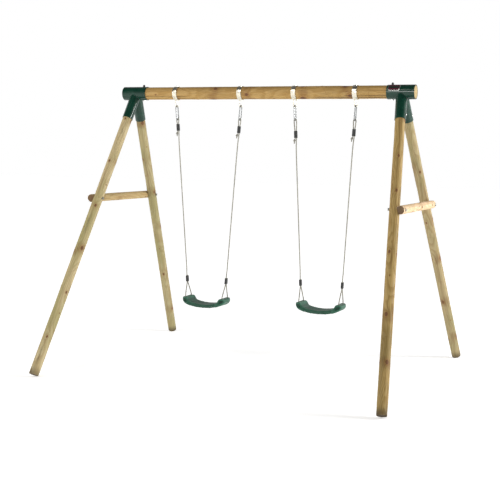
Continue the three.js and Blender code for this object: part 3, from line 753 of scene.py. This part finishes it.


# The right crossbar's tones are paler than the left's: partly painted light, the brightness of the light from
# the right painted into the pine
BAR_TONES = {
    "left": (colour(178, 156, 109), colour(146, 115, 69), colour(167, 147, 99), 21.0),
    "right": (colour(216, 188, 154), colour(187, 150, 102), colour(208, 183, 144), 22.0),
}
for name, (light, dark, stain, seed) in BAR_TONES.items():
    outward = -1 if name == "left" else 1
    apex, axis, _, _ = leg_lines[name + "_front"]
    crossing = apex + axis * ((BAR_Z - BEAM_Z) / axis.z)
    x = crossing.x + outward * BAR_OFFSET
    start = Vector((x, -BAR_LENGTH / 2, BAR_Z))
    end = Vector((x, BAR_LENGTH / 2, BAR_Z))
    bar, knots = pole("pine_crossbar_" + name, start, end, BAR_RADIUS, int(seed))
    for side in ("_front", "_back"):
        _, _, leg_top, leg_foot = leg_lines[name + side]
        points, faces, _ = tube_mesh([leg_top, leg_foot], LEG_RADIUS + 0.0003, 64)
        combine(bar, link_mesh("saddle", points, faces))
    store_knots(bar, knots, BAR_RADIUS)
    bar.data.set_sharp_from_angle(angle=math.radians(38))
    tone = {"Light": light, "Dark": dark, "Stain": stain, "Seed": seed, "Length": BAR_LENGTH, "FootShade": 0.0}
    tone["Sawn"] = colour(84, 56, 30) if name == "left" else colour(46, 26, 10)
    paint(bar, material("BarPine_" + name, "RoundedPine", tone, bump_mm=0.5, strength=0.7))
    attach(bar, "frame")
    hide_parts("crossbar_" + name)


# Corner brackets
# Steel tube, 3 mm wall: a sleeve for the beam and two sockets for the legs, mitred, welded all round and
# powder coated dark green, which leaves an orange-peel skin and rounds over the weld beads.
SLEEVE_RADIUS, SLEEVE_BORE = 0.0535, 0.0505
SOCKET_RADIUS, SOCKET_BORE = 0.0415, 0.0385
SLEEVE_LENGTH, SOCKET_REACH = 0.208, 0.232
EDGE = 0.0008


def coat_pattern():
    g, given, give = node_group("PowderCoat", {"Base": "Color", "Rub": "Color"}, SURFACE)
    space = g.add("TexCoord", output="Object")
    peel = g.noise(space, 520, 2)
    cloud = g.noise(space, 9, 3)
    scuff = g.noise(g.vector("MULTIPLY", space, (30, 30, 260)), 1.0, 4, 0.65)
    dust = g.noise(space, 70, 4, 0.7)
    base = g.mix(g.remap(cloud, 0.3, 0.7, 0.0, 0.35), given["Base"], given["Rub"])
    base = g.mix(g.remap(scuff, 0.66, 0.74, 0.0, 0.5), base, given["Rub"])
    base = g.mix(g.remap(dust, 0.6, 0.8, 0.0, 0.18), base, colour(120, 128, 118))
    rough = g.math("ADD", g.remap(cloud, 0.3, 0.7, 0.16, 0.30), g.remap(scuff, 0.6, 0.75, 0.0, 0.25))
    give(Color=base, Roughness=rough, Height=g.math("ADD", peel, g.math("MULTIPLY", dust, 0.2)))


def pipe(start, end, radius, inset=0.0):
    """A solid round bar with a small chamfer at both ends, as points and faces."""
    along = (end - start).normalized()
    if inset == 0.0:
        return tube_mesh([start, end], radius, 72)[:2]
    path = [start, start + along * inset, end - along * inset, end]
    return tube_mesh(path, [radius - inset, radius, radius, radius - inset], 72)[:2]


def socket_rim(apex, axis, turn):
    """Where a socket's outside, at one turn round its axis, leaves the sleeve or meets the other socket."""
    side = Vector((1, 0, 0)) - axis * axis.x
    side.normalize()
    other = axis.cross(side)
    spoke = SOCKET_RADIUS * (math.cos(turn) * side + math.sin(turn) * other)
    a = axis.y**2 + axis.z**2
    b = 2 * (spoke.y * axis.y + spoke.z * axis.z)
    c = spoke.y**2 + spoke.z**2 - SLEEVE_RADIUS**2
    reach = (-b + math.sqrt(b * b - 4 * a * c)) / (2 * a)
    between = -spoke.y / axis.y
    return apex + spoke + axis * max(reach, between), between > reach


def weld_bead(path, draw):
    radii = []
    for i in range(len(path)):
        radii.append(0.0024 * (1 + 0.16 * math.sin(i * 1.9) + draw.uniform(-0.08, 0.08)))
    return tube_mesh(path, radii, 8)[:2]


def merged(name, parts):
    """One object from several lists of points and faces."""
    vertices, faces = [], []
    for points, sides in parts:
        shift = len(vertices)
        vertices += points
        faces += [tuple(index + shift for index in face) for face in sides]
    return link_mesh(name, vertices, faces)


def join_into(obj, other):
    """Adds the other object's mesh to the first, as it lies, and removes the other."""
    mesh = bmesh.new()
    mesh.from_mesh(obj.data)
    mesh.from_mesh(other.data)
    mesh.to_mesh(obj.data)
    mesh.free()
    bpy.data.objects.remove(other)


coat_pattern()
coat = material(
    "GreenPowderCoat",
    "PowderCoat",
    {"Base": colour(12, 50, 38), "Rub": colour(22, 72, 56)},
    bump_mm=0.05,
    strength=0.3,
    Specular_IOR_Level=0.3,
    Coat_Weight=0.3,
    Coat_Roughness=0.07,
)
for name, outward in (("left", -1), ("right", 1)):
    draw = random.Random(outward + 5)
    apex = Vector((outward * BRACKET_X, 0, BEAM_Z))
    along = Vector((1, 0, 0)) * SLEEVE_LENGTH / 2
    bracket = link_mesh("steel_bracket_" + name, *pipe(apex - along, apex + along, SLEEVE_RADIUS, EDGE))
    axes = [leg_lines[name + side][1] for side in ("_front", "_back")]
    for axis in axes:
        outer = link_mesh("socket", *pipe(apex, apex + axis * SOCKET_REACH, SOCKET_RADIUS, EDGE))
        combine(bracket, outer, "UNION")
    for axis in axes:
        bore = link_mesh("bore", *pipe(apex + axis * 0.03, apex + axis * (SOCKET_REACH + 0.02), SOCKET_BORE))
        combine(bracket, bore)
    combine(bracket, link_mesh("bore", *pipe(apex - 1.2 * along, apex + 1.2 * along, SLEEVE_BORE)))
    bracket.data.set_sharp_from_angle(angle=math.radians(30))
    beads = []
    for axis in axes:
        rims = [socket_rim(apex, axis, 2 * math.pi * i / 96) for i in range(96)]
        first = next(i for i in range(96) if rims[i - 1][1] and not rims[i][1])
        ordered = rims[first:] + rims[:first]
        around = [point for point, shared in ordered if not shared]
        beads.append(weld_bead(even_steps(around, 0.0022), draw))
        if axis is axes[0]:
            shared = [point for point, is_shared in ordered if is_shared]
            beads.append(weld_bead(even_steps(shared, 0.0022), draw))
    join_into(bracket, merged("beads", beads))
    paint(bracket, coat)
    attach(bracket, "frame")
    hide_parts("bracket_" + name)


# Bolts, screws and caps
# Zinc-plated fasteners: a bolt down through each sleeve with a black push-on cap over its nut, a pan-head
# screw in each socket, a cup-head bolt through each leg and crossbar, and a hex screw in each strap.
def zinc_pattern():
    g, given, give = node_group("ZincPlate", {"Base": "Color", "Dull": "Color", "Smooth": "Float"}, SURFACE)
    space = g.add("TexCoord", output="Object")
    flake = g.add("TexVoronoi", {"Vector": space, "Scale": 210.0}, "Color")
    tint, _, _ = g.parts(flake)
    cloud = g.noise(space, 45, 4, 0.6)
    scratch = g.noise(g.vector("MULTIPLY", space, (300, 300, 40)), 1.0, 3)
    base = g.mix(g.remap(tint, 0.1, 0.9, 0.0, 0.5), given["Base"], given["Dull"])
    base = g.mix(g.remap(cloud, 0.55, 0.75, 0.0, 0.6), base, given["Dull"])
    rough = g.math("ADD", g.remap(cloud, 0.3, 0.75, 0.18, 0.42), g.remap(scratch, 0.5, 0.8, 0.0, 0.15))
    rough = g.math("MULTIPLY", rough, g.math("SUBTRACT", 1.0, given["Smooth"]))
    height = g.math("ADD", g.math("MULTIPLY", scratch, 0.6), g.math("MULTIPLY", tint, 0.3))
    give(Color=base, Roughness=rough, Height=height)


def plastic_pattern():
    g, given, give = node_group(
        "MouldedPlastic",
        {"Base": "Color", "WornAndHighlight": "Color", "PaintedShade": "Color", "Grain": "Float"},
        SURFACE,
    )
    space = g.add("TexCoord", output="Object")
    hollow = g.add("Attribute", output="Fac", attribute_name="hollow")
    skin = g.noise(space, given["Grain"], 3, 0.6)
    cloud = g.noise(space, 14, 4, 0.6)
    scuff = g.noise(g.vector("MULTIPLY", space, (40, 190, 190)), 1.0, 4, 0.7)
    base = g.mix(g.remap(cloud, 0.35, 0.7, 0.0, 0.4), given["Base"], given["WornAndHighlight"])
    base = g.mix(g.remap(scuff, 0.62, 0.76, 0.0, 0.55), base, given["WornAndHighlight"])
    base = g.mix(g.remap(skin, 0.3, 0.7, 0.0, 0.15), base, given["WornAndHighlight"])
    # the hollow attribute paints light: above 0 it darkens, as painted shade in grooves and recesses, and
    # below 0 it lightens, as painted highlight on edges
    base = g.mix(g.remap(hollow, 0.0, 1.0, 0.0, 0.85), base, given["PaintedShade"])
    base = g.mix(g.remap(hollow, 0.0, -1.0, 0.0, 0.8), base, given["WornAndHighlight"])
    rough = g.math("ADD", g.remap(cloud, 0.3, 0.7, 0.36, 0.52), g.remap(scuff, 0.6, 0.8, 0.0, 0.2))
    give(Color=base, Roughness=rough, Height=skin)


def dress(node, made, bevel=0.0005):
    """A carried CAD piece with softened edges and its own material."""
    obj = nodes[node]
    paint(obj, made)
    edge = obj.modifiers.new("Edge", "BEVEL")
    edge.width, edge.segments, edge.limit_method = bevel, 2, "ANGLE"
    edge.angle_limit = math.radians(32)
    edge.harden_normals = False
    obj.data.shade_smooth()
    shade = obj.modifiers.new("Shade", "WEIGHTED_NORMAL")
    shade.keep_sharp = True
    return obj


zinc_pattern()
plastic_pattern()
zinc = material(
    "ZincPlate",
    "ZincPlate",
    {"Base": colour(226, 226, 222), "Dull": colour(168, 170, 168)},
    bump_mm=0.05,
    strength=0.4,
    Metallic=1.0,
)
# A darker zinc for the crossbar bolts, so that they show no bright spot.
darker_zinc = material(
    "DarkerZinc",
    "ZincPlate",
    {"Base": colour(150, 148, 138), "Dull": colour(104, 102, 94), "Smooth": 0.0},
    bump_mm=0.05,
    strength=0.4,
    Metallic=1.0,
)
black = material(
    "BlackPlastic",
    "MouldedPlastic",
    {"Base": colour(22, 23, 22), "WornAndHighlight": colour(48, 50, 48), "PaintedShade": colour(10, 10, 10), "Grain": 900.0},
    bump_mm=0.05,
    strength=0.5,
)
for end in ("left", "right"):
    dress("beam_bolt_" + end, zinc)
    dress("bolt_cap_" + end, black)
for leg in LEG_TONES:
    dress("leg_screw_" + leg, zinc, 0.0004)
    dress("crossbar_bolt_" + leg, darker_zinc, 0.0004)
for hanger in HANGERS:
    dress("strap_screw_" + hanger, zinc, 0.0004)


# Plain plate
# A pressed sheet plate bent to the right sleeve: a dark enamelled field inside a raised bare rim. No marking.
PLATE_X, PLATE_WIDTH = BRACKET_X - SLEEVE_LENGTH / 2 + 0.012, 0.090
PLATE_LOW, PLATE_HIGH, PLATE_THICK = math.radians(8), math.radians(70), 0.0015
PLATE_BASE = SLEEVE_RADIUS + 0.0003


def rounded_outline(width, height, corner, steps=10):
    points = []
    for quarter in range(4):
        centre_x = (width / 2 - corner) * (1 if quarter in (0, 3) else -1)
        centre_y = (height / 2 - corner) * (1 if quarter < 2 else -1)
        for i in range(steps + 1):
            turn = (quarter + i / steps) * math.pi / 2
            points.append((centre_x + corner * math.cos(turn), centre_y + corner * math.sin(turn)))
    return points


def plate_mesh():
    height = (PLATE_HIGH - PLATE_LOW) * PLATE_BASE
    middle = (PLATE_LOW + PLATE_HIGH) / 2
    rings = [
        (0.0, 0.0),
        (0.0, 0.0010),
        (0.0005, PLATE_THICK),
        (0.0034, PLATE_THICK),
        (0.0040, 0.0008),
        (0.0100, 0.0009),
        (0.0150, 0.0010),
    ]
    vertices, faces, slots = [], [], []
    for inset, lift in rings:
        outline = rounded_outline(PLATE_WIDTH - 2 * inset, height - 2 * inset, max(0.0002, 0.0170 - inset))
        for along, around in outline:
            turn = middle + around / PLATE_BASE
            reach = PLATE_BASE + lift
            x = PLATE_X + PLATE_WIDTH / 2 + along
            vertices.append((x, -reach * math.cos(turn), BEAM_Z + reach * math.sin(turn)))
    count = len(vertices) // len(rings)
    for ring in range(len(rings) - 1):
        for j in range(count):
            k = (j + 1) % count
            a, b = ring * count, (ring + 1) * count
            faces.append((a + j, a + k, b + k, b + j))
            slots.append(1 if ring >= 4 else 0)
    faces.append(tuple(range(len(vertices) - count, len(vertices))))
    slots.append(1)
    return vertices, faces, slots


points, faces, slots = plate_mesh()
plate = link_mesh("plain_plate", points, faces)
plate.data.materials.append(zinc)
enamel = material(
    "DarkEnamel",
    "PowderCoat",
    {"Base": colour(70, 22, 38), "Rub": colour(98, 44, 58)},
    bump_mm=0.03,
    strength=0.3,
    Coat_Weight=0.5,
    Coat_Roughness=0.1,
)
plate.data.materials.append(enamel)
plate.data.polygons.foreach_set("material_index", slots)
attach(plate, "frame")
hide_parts("name_plate")


# Hanger straps
# A galvanised band, 35 by 3 mm, closed round the beam, with a loop of 8 mm rod welded to its underside.
STRAP_INSIDE, STRAP_THICK, STRAP_WIDE = 0.0504, 0.003, 0.035
LOOP_ROD, LOOP_BEND = 0.008, 0.011
STRAP_AROUND, BOW_STEPS, ROD_SIDES = 120, 24, 20
WELD_STACK = [(0.0012, 0.0078), (0.0, 0.0070), (-0.0015, 0.0056), (-0.0034, 0.0042)]  # rise and radius


def strap_mesh(x):
    profile = []
    middle = STRAP_INSIDE + STRAP_THICK / 2
    for along, out in rounded_outline(STRAP_WIDE, STRAP_THICK, 0.0009, 4):
        profile.append((along, middle + out))
    vertices, faces = [], []
    for i in range(STRAP_AROUND):
        turn = 2 * math.pi * i / STRAP_AROUND
        for along, reach in profile:
            vertices.append(Vector((x + along, -reach * math.cos(turn), BEAM_Z + reach * math.sin(turn))))
    count = len(profile)
    for i in range(STRAP_AROUND):
        for j in range(count):
            a, b, k = i * count, (i + 1) % STRAP_AROUND * count, (j + 1) % count
            faces.append((a + j, a + k, b + k, b + j))
    weld_z = BEAM_Z - STRAP_INSIDE - 0.001
    loop = [Vector((x - LOOP_BEND, 0, weld_z))]
    for i in range(BOW_STEPS + 1):
        turn = math.pi * i / BOW_STEPS
        drop = LOOP_DROP - LOOP_BEND + LOOP_BEND * math.sin(turn)
        loop.append(Vector((x - LOOP_BEND * math.cos(turn), 0, BEAM_Z - drop)))
    loop.append(Vector((x + LOOP_BEND, 0, weld_z)))
    rod = tube_mesh(loop, LOOP_ROD / 2, ROD_SIDES)[:2]
    welds = []
    for side in (-1, 1):
        foot = Vector((x + side * LOOP_BEND, 0, BEAM_Z - STRAP_INSIDE - STRAP_THICK))
        stack = [foot + Vector((0, 0, rise)) for rise, _ in WELD_STACK]
        welds.append(tube_mesh(stack, [radius for _, radius in WELD_STACK], ROD_SIDES)[:2])
    return merged("galvanised_strap", [(vertices, faces), rod] + welds)


# The warm cream metal colour is painted light: it tints the straps' reflections the warm cream of their
# highlight.
galvanised = material(
    "Galvanised",
    "ZincPlate",
    {"Base": colour(238, 232, 214), "Dull": colour(206, 201, 186), "Smooth": 0.0},
    bump_mm=0.04,
    strength=0.3,
    Metallic=1.0,
)
for name, hanger in HANGERS.items():
    strap = strap_mesh(hanger["x"])
    strap.name = "galvanised_strap_" + name
    strap.data.set_sharp_from_angle(angle=math.radians(40))
    paint(strap, galvanised)
    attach(strap, "frame")
    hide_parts("hanger_strap_" + name)


# Spring hooks
# Bent from 9 mm plated rod into a long eye. One side is open, its lower end pressed flat into a tongue that
# carries the riveted gate, which a spring inside holds against the nose.
HOOK_ROD, HOOK_HALF = 0.009, 0.0175
UPPER_BOW, LOWER_BOW, GATE_PIVOT, NOSE_END = -0.0087, -0.0847, -0.0777, -0.0167
TONGUE_TOP, TONGUE_HALF = GATE_PIVOT + 0.004, 0.002
NOSE_CHAMFER = (0.0015, 0.001)  # along the rod, and off its radius


def hook_mesh():
    line = [Vector((0, HOOK_HALF, z)) for z in (TONGUE_TOP, GATE_PIVOT, LOWER_BOW + 0.002)]
    for centre, first in ((LOWER_BOW, 0.0), (UPPER_BOW, math.pi)):
        for i in range(BOW_STEPS + 1):
            turn = first + math.pi * i / BOW_STEPS
            line.append(Vector((0, HOOK_HALF * math.cos(turn), centre - HOOK_HALF * math.sin(turn))))
    line += [Vector((0, HOOK_HALF, NOSE_END + NOSE_CHAMFER[0])), Vector((0, HOOK_HALF, NOSE_END))]
    radii = [HOOK_ROD / 2] * (len(line) - 1) + [HOOK_ROD / 2 - NOSE_CHAMFER[1]]
    vertices, faces, _ = tube_mesh(line, radii, ROD_SIDES)
    for vertex in vertices:
        if vertex.y > 0 and LOWER_BOW + 0.001 < vertex.z < TONGUE_TOP + 0.001:
            vertex.x = max(-TONGUE_HALF, min(TONGUE_HALF, vertex.x))
    return vertices, faces


plated = material(
    "PlatedRod",
    "ZincPlate",
    {"Base": colour(152, 154, 154), "Dull": colour(98, 100, 100)},
    bump_mm=0.04,
    strength=0.3,
    Metallic=1.0,
)
for name in HANGERS:
    pivot, down, across, _, _, _ = line_of(name)
    axes = Matrix((across, (-down).cross(across), -down)).transposed()
    hook = link_mesh("spring_hook_" + name, *hook_mesh())
    hook.matrix_world = Matrix.Translation(pivot) @ axes.to_4x4()
    hook.data.set_sharp_from_angle(angle=math.radians(40))
    paint(hook, plated)
    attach(hook, "swing_" + name.split("_")[0])
    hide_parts("hook_" + name)
    dress("gate_" + name, plated, 0.0004)
    dress("gate_pin_" + name, zinc, 0.0002)


# Rope adjusters and clamps
# Black moulded blocks with two bores. The adjuster slides up and down the rope to set the seat's height, and
# the clamp closes the loop above the seat.
for name in HANGERS:
    dress("rope_adjuster_" + name, black, 0.0012)
    dress("rope_clamp_" + name, black, 0.0012)


# Seats
# One green moulding each: a sagging deck with a rolled front and back edge, and raised end blocks with two
# rope holes, a scooped panel in each face and a groove beneath for the rope. Ribbed and hollow underneath.
SEAT_LENGTH, SEAT_DEPTH, SEAT_CORNER = 0.370, 0.155, 0.035
DECK_SLOPE = [(0, -53), (50, -50), (90, -43), (116, -36), (128, -24)]
BLOCK_TOP = [(136, -5), (142, 0), (172, 0), (180, -2), (185, -10)]
DECK_PROFILE = DECK_SLOPE + BLOCK_TOP  # in millimetres from the middle and from the ends' top
UNDER_PROFILE = [(0, -82), (40, -81), (80, -77), (120, -68), (150, -57), (165, -48), (178, -36), (185, -24)]
POCKET_EDGES, DECK_WALL, SEAT_RIB = (-0.114, -0.058, 0.0, 0.058, 0.114), 0.006, 0.004
SEAT_STATIONS, EDGE_STEPS, SIDE_STEPS = 168, 8, 16
DECK_STEPS = 33 * 0.72  # of a quarter outline's 33 points, 72% lie on the deck
ROLL_TOP, ROLL_LOW = 0.011, 0.012  # radii of the rolled edges
MOST_ROLL = 0.46  # the most of the thickness that a rolled edge takes
DECK_END, DECK_BLEND = 0.120, 0.018
RIB_PITCH, RIB_HEIGHT, RIB_FIELD = 0.0185, 0.0013, 0.066
# From here a share is 0 at the moulding's top and 1 at its underside.
UPPER_GROOVE, LOWER_GROOVE = (0.34, 0.06, 0.0034), (0.74, 0.05, 0.0022)  # share, width and depth
SKIRT_INSET, SKIRT_BLEND = 0.0042, 0.08
SCOOP_X, SCOOP_WIDE, SCOOP_SHARE, SCOOP_TALL, SCOOP_DEEP = 0.158, 0.017, 0.46, 0.24, 0.0100
PIT_X, PIT_SIZE, PIT_DEEP = 0.143, 0.006, 0.005


def along_profile(profile, x):
    """A profile's height at x, in metres, with its corners rounded."""
    total = 0.0
    for shift in (-6, -3, 0, 3, 6):
        reach = min(abs(abs(x) * 1000 + shift), profile[-1][0])
        for (x0, z0), (x1, z1) in zip(profile, profile[1:]):
            if reach <= x1:
                total += z0 + (z1 - z0) * (reach - x0) / (x1 - x0)
                break
    return total / 5000


def bump_at(value, centre, width):
    return math.exp(-(((value - centre) / width) ** 2))


def on_deck(x):
    """1 on the sagging deck and 0 on the end blocks."""
    return max(0.0, min(1.0, (DECK_END - abs(x)) / DECK_BLEND))


def scoop_at(x, share):
    """1 in the middle of an end block's scooped panel and 0 away from it."""
    return math.exp(-(((abs(x) - SCOOP_X) / SCOOP_WIDE) ** 4) - (((share - SCOOP_SHARE) / SCOOP_TALL) ** 4))


def seat_section(x):
    """The moulding's outline across its length at x, with its top, its underside and half its depth."""
    top, low = along_profile(DECK_PROFILE, x), along_profile(UNDER_PROFILE, x)
    edge = max(0.0, abs(x) - (SEAT_LENGTH / 2 - SEAT_CORNER))
    half = SEAT_DEPTH / 2 - SEAT_CORNER + math.sqrt(max(0.0, SEAT_CORNER**2 - edge**2))
    tall = top - low
    round_top, round_low = min(ROLL_TOP, tall * MOST_ROLL), min(ROLL_LOW, tall * MOST_ROLL)
    flat = half - round_top
    outline = [(flat * i / DECK_STEPS, top) for i in range(math.ceil(DECK_STEPS))]
    for i in range(EDGE_STEPS + 1):
        turn = math.pi / 2 * (1 - i / EDGE_STEPS)
        outline.append((flat + round_top * math.cos(turn), top - round_top + round_top * math.sin(turn)))
    for i in range(1, SIDE_STEPS):
        outline.append((half, top - round_top - (tall - round_top - round_low) * i / SIDE_STEPS))
    for i in range(EDGE_STEPS + 1):
        turn = -math.pi / 2 * i / EDGE_STEPS
        y = half - round_low + round_low * math.cos(turn)
        outline.append((y, low + round_low + round_low * math.sin(turn)))
    for i in range(1, EDGE_STEPS + 1):
        outline.append(((half - round_low) * (1 - i / (EDGE_STEPS + 1)), low))
    outline.append((0.0, low))
    return outline + [(-y, z) for y, z in outline[-2:0:-1]], top, low, half


def seat_surface(x, y, z, top, low, half):
    """Where the moulding's surface lies: ribs on the deck, the rolled edges, the scoops and the hole rims."""
    middle = on_deck(x)
    share = (top - z) / (top - low)
    block = 1 - middle
    if share < 0.02:
        rib = (0.5 + 0.5 * math.cos(2 * math.pi * y / RIB_PITCH)) * (abs(y) < RIB_FIELD)
        z -= middle * RIB_HEIGHT * (1 - rib)
        for hole_x in (-HOLE_X, HOLE_X):
            for hole_y in (-HOLE_Y, HOLE_Y):
                away = math.hypot(x - hole_x, y - hole_y)
                z -= 0.0018 * (1 - bump_at(away, 0.009, 0.004)) * bump_at(away, 0, 0.02)
        z -= block * 0.004 * bump_at(y, 0, 0.028) * bump_at(abs(x), 0.160, 0.015)
    face = abs(y) / half
    if face > 0.9 and share > 0.03:
        groove = SKIRT_INSET * max(0.0, min(1.0, (share - UPPER_GROOVE[0]) / SKIRT_BLEND))
        for centre, width, depth in (UPPER_GROOVE, LOWER_GROOVE):
            groove += depth * bump_at(share, centre, width)
        scoop = SCOOP_DEEP * scoop_at(x, share)
        below = z - (low + top) / 2 + 0.004
        pit = PIT_DEEP * math.exp(-(((abs(x) - PIT_X) / PIT_SIZE) ** 4) - (below / PIT_SIZE) ** 4)
        y -= math.copysign(middle * groove + block * (scoop + pit + 0.0015 * (share > 0.93)), y)
    return x, y, z


def seat_mesh(name):
    vertices, faces = [], []
    for i in range(SEAT_STATIONS + 1):
        share = i / SEAT_STATIONS
        x = SEAT_LENGTH / 2 * math.sin((share - 0.5) * math.pi * 0.82) / math.sin(math.pi * 0.41)
        outline, top, low, half = seat_section(x)
        vertices += [seat_surface(x, y, z, top, low, half) for y, z in outline]
        count = len(outline)
    for i in range(SEAT_STATIONS):
        for j in range(count):
            k = (j + 1) % count
            a, b = i * count, (i + 1) * count
            faces.append((a + j, b + j, b + k, a + k))
    faces.append(tuple(range(count)))
    faces.append(tuple(range(len(vertices) - count, len(vertices)))[::-1])
    return link_mesh(name, vertices, faces)


def prism(outline, low_y, high_y):
    """A flat outline in X and Z carried from one Y to another, as points and faces."""
    count = len(outline)
    vertices = [Vector((x, low_y, z)) for x, z in outline] + [Vector((x, high_y, z)) for x, z in outline]
    faces = [tuple(range(count)), tuple(range(count, 2 * count))[::-1]]
    for j in range(count):
        k = (j + 1) % count
        faces.append((j, j + count, k + count, k))
    return vertices, faces


def seat_cutters():
    pockets = []
    for start, end in zip(POCKET_EDGES, POCKET_EDGES[1:]):
        low_x, high_x = start + SEAT_RIB / 2, end - SEAT_RIB / 2
        cell = [(low_x, -0.2), (high_x, -0.2)]
        for i in range(7):
            x = high_x + (low_x - high_x) * i / 6
            cell.append((x, along_profile(DECK_PROFILE, x) - DECK_WALL))
        inner, outer = SEAT_RIB / 2, SEAT_DEPTH / 2 - DECK_WALL - 0.003
        pockets += [prism(cell, inner, outer), prism(cell, -outer, -inner)]
    grooves, holes = [], []
    wide = ROPE / 2 + 0.0007
    for x in (-HOLE_X, HOLE_X):
        ceiling = -ROPE_UNDER + wide
        slot = [(x - wide, -0.2), (x + wide, -0.2), (x + wide, ceiling), (x - wide, ceiling)]
        grooves.append(prism(slot, -HOLE_Y, HOLE_Y))
        for y in (-HOLE_Y, HOLE_Y):
            holes.append(tube_mesh([Vector((x, y, 0.02)), Vector((x, y, -0.2))], wide, 28)[:2])
    return pockets, grooves, holes


def store_shade_and_highlight(obj):
    """Marks painted shade with 1, in the grooves and scoops, and painted highlight with -1, on the rims and
    edges.
    """
    marks = []
    for vertex in obj.data.vertices:
        x, y, z = vertex.co
        top, low = along_profile(DECK_PROFILE, x), along_profile(UNDER_PROFILE, x)
        half = SEAT_DEPTH / 2
        share, face = (top - z) / (top - low), abs(y) / half
        middle = on_deck(x)
        mark = 0.0
        if face > 0.72 and share > 0.06:
            # painted shade in the face's grooves, below them and in the block scoops; painted highlight high
            # on the block faces
            bands = bump_at(share, 0.36, 0.06) + 0.7 * bump_at(share, 0.76, 0.05)
            mark += middle * (bands + 0.25 * (share > 0.4))
            mark += (1 - middle) * (0.75 * scoop_at(x, share) - 0.5 * bump_at(share, 0.14, 0.05))
        elif share < 0.06:
            # painted highlight along the top rim and the blocks' top edges; painted shade at the step onto
            # each block and in the rib valleys
            mark -= 0.8 * bump_at(face, 0.93, 0.07) + 0.5 * bump_at(abs(x), 0.140, 0.006) * (1 - middle)
            mark += 0.5 * bump_at(abs(x), 0.124, 0.007)
            if abs(y) < RIB_FIELD:
                mark += middle * (0.45 - 0.3 * math.cos(2 * math.pi * y / RIB_PITCH))
        marks.append(max(-1.0, min(1.0, mark)))
    obj.data.attributes.new("hollow", "FLOAT", "POINT").data.foreach_set("value", marks)


def outward(obj):
    """Turns an object's faces to look outwards."""
    mesh = bmesh.new()
    mesh.from_mesh(obj.data)
    bmesh.ops.recalc_face_normals(mesh, faces=mesh.faces)
    mesh.to_mesh(obj.data)
    mesh.free()
    return obj


seat_plastic = material(
    "GreenSeatPlastic",
    "MouldedPlastic",
    {"Base": colour(34, 78, 60), "WornAndHighlight": colour(84, 134, 112), "PaintedShade": colour(14, 38, 30), "Grain": 620.0},
    bump_mm=0.08,
    strength=0.4,
    Specular_IOR_Level=0.22,
)
for name, seat in SEATS.items():
    moulding = outward(seat_mesh("moulded_seat_" + name))
    for parts in seat_cutters():
        combine(moulding, outward(merged("cutter", parts)))
    store_shade_and_highlight(moulding)
    moulding.data.set_sharp_from_angle(angle=math.radians(42))
    moulding.matrix_world = Matrix.Translation((seat["x"], 0, seat["top"]))
    paint(moulding, seat_plastic)
    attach(moulding, "swing_" + name)
    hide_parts("seat_" + name)
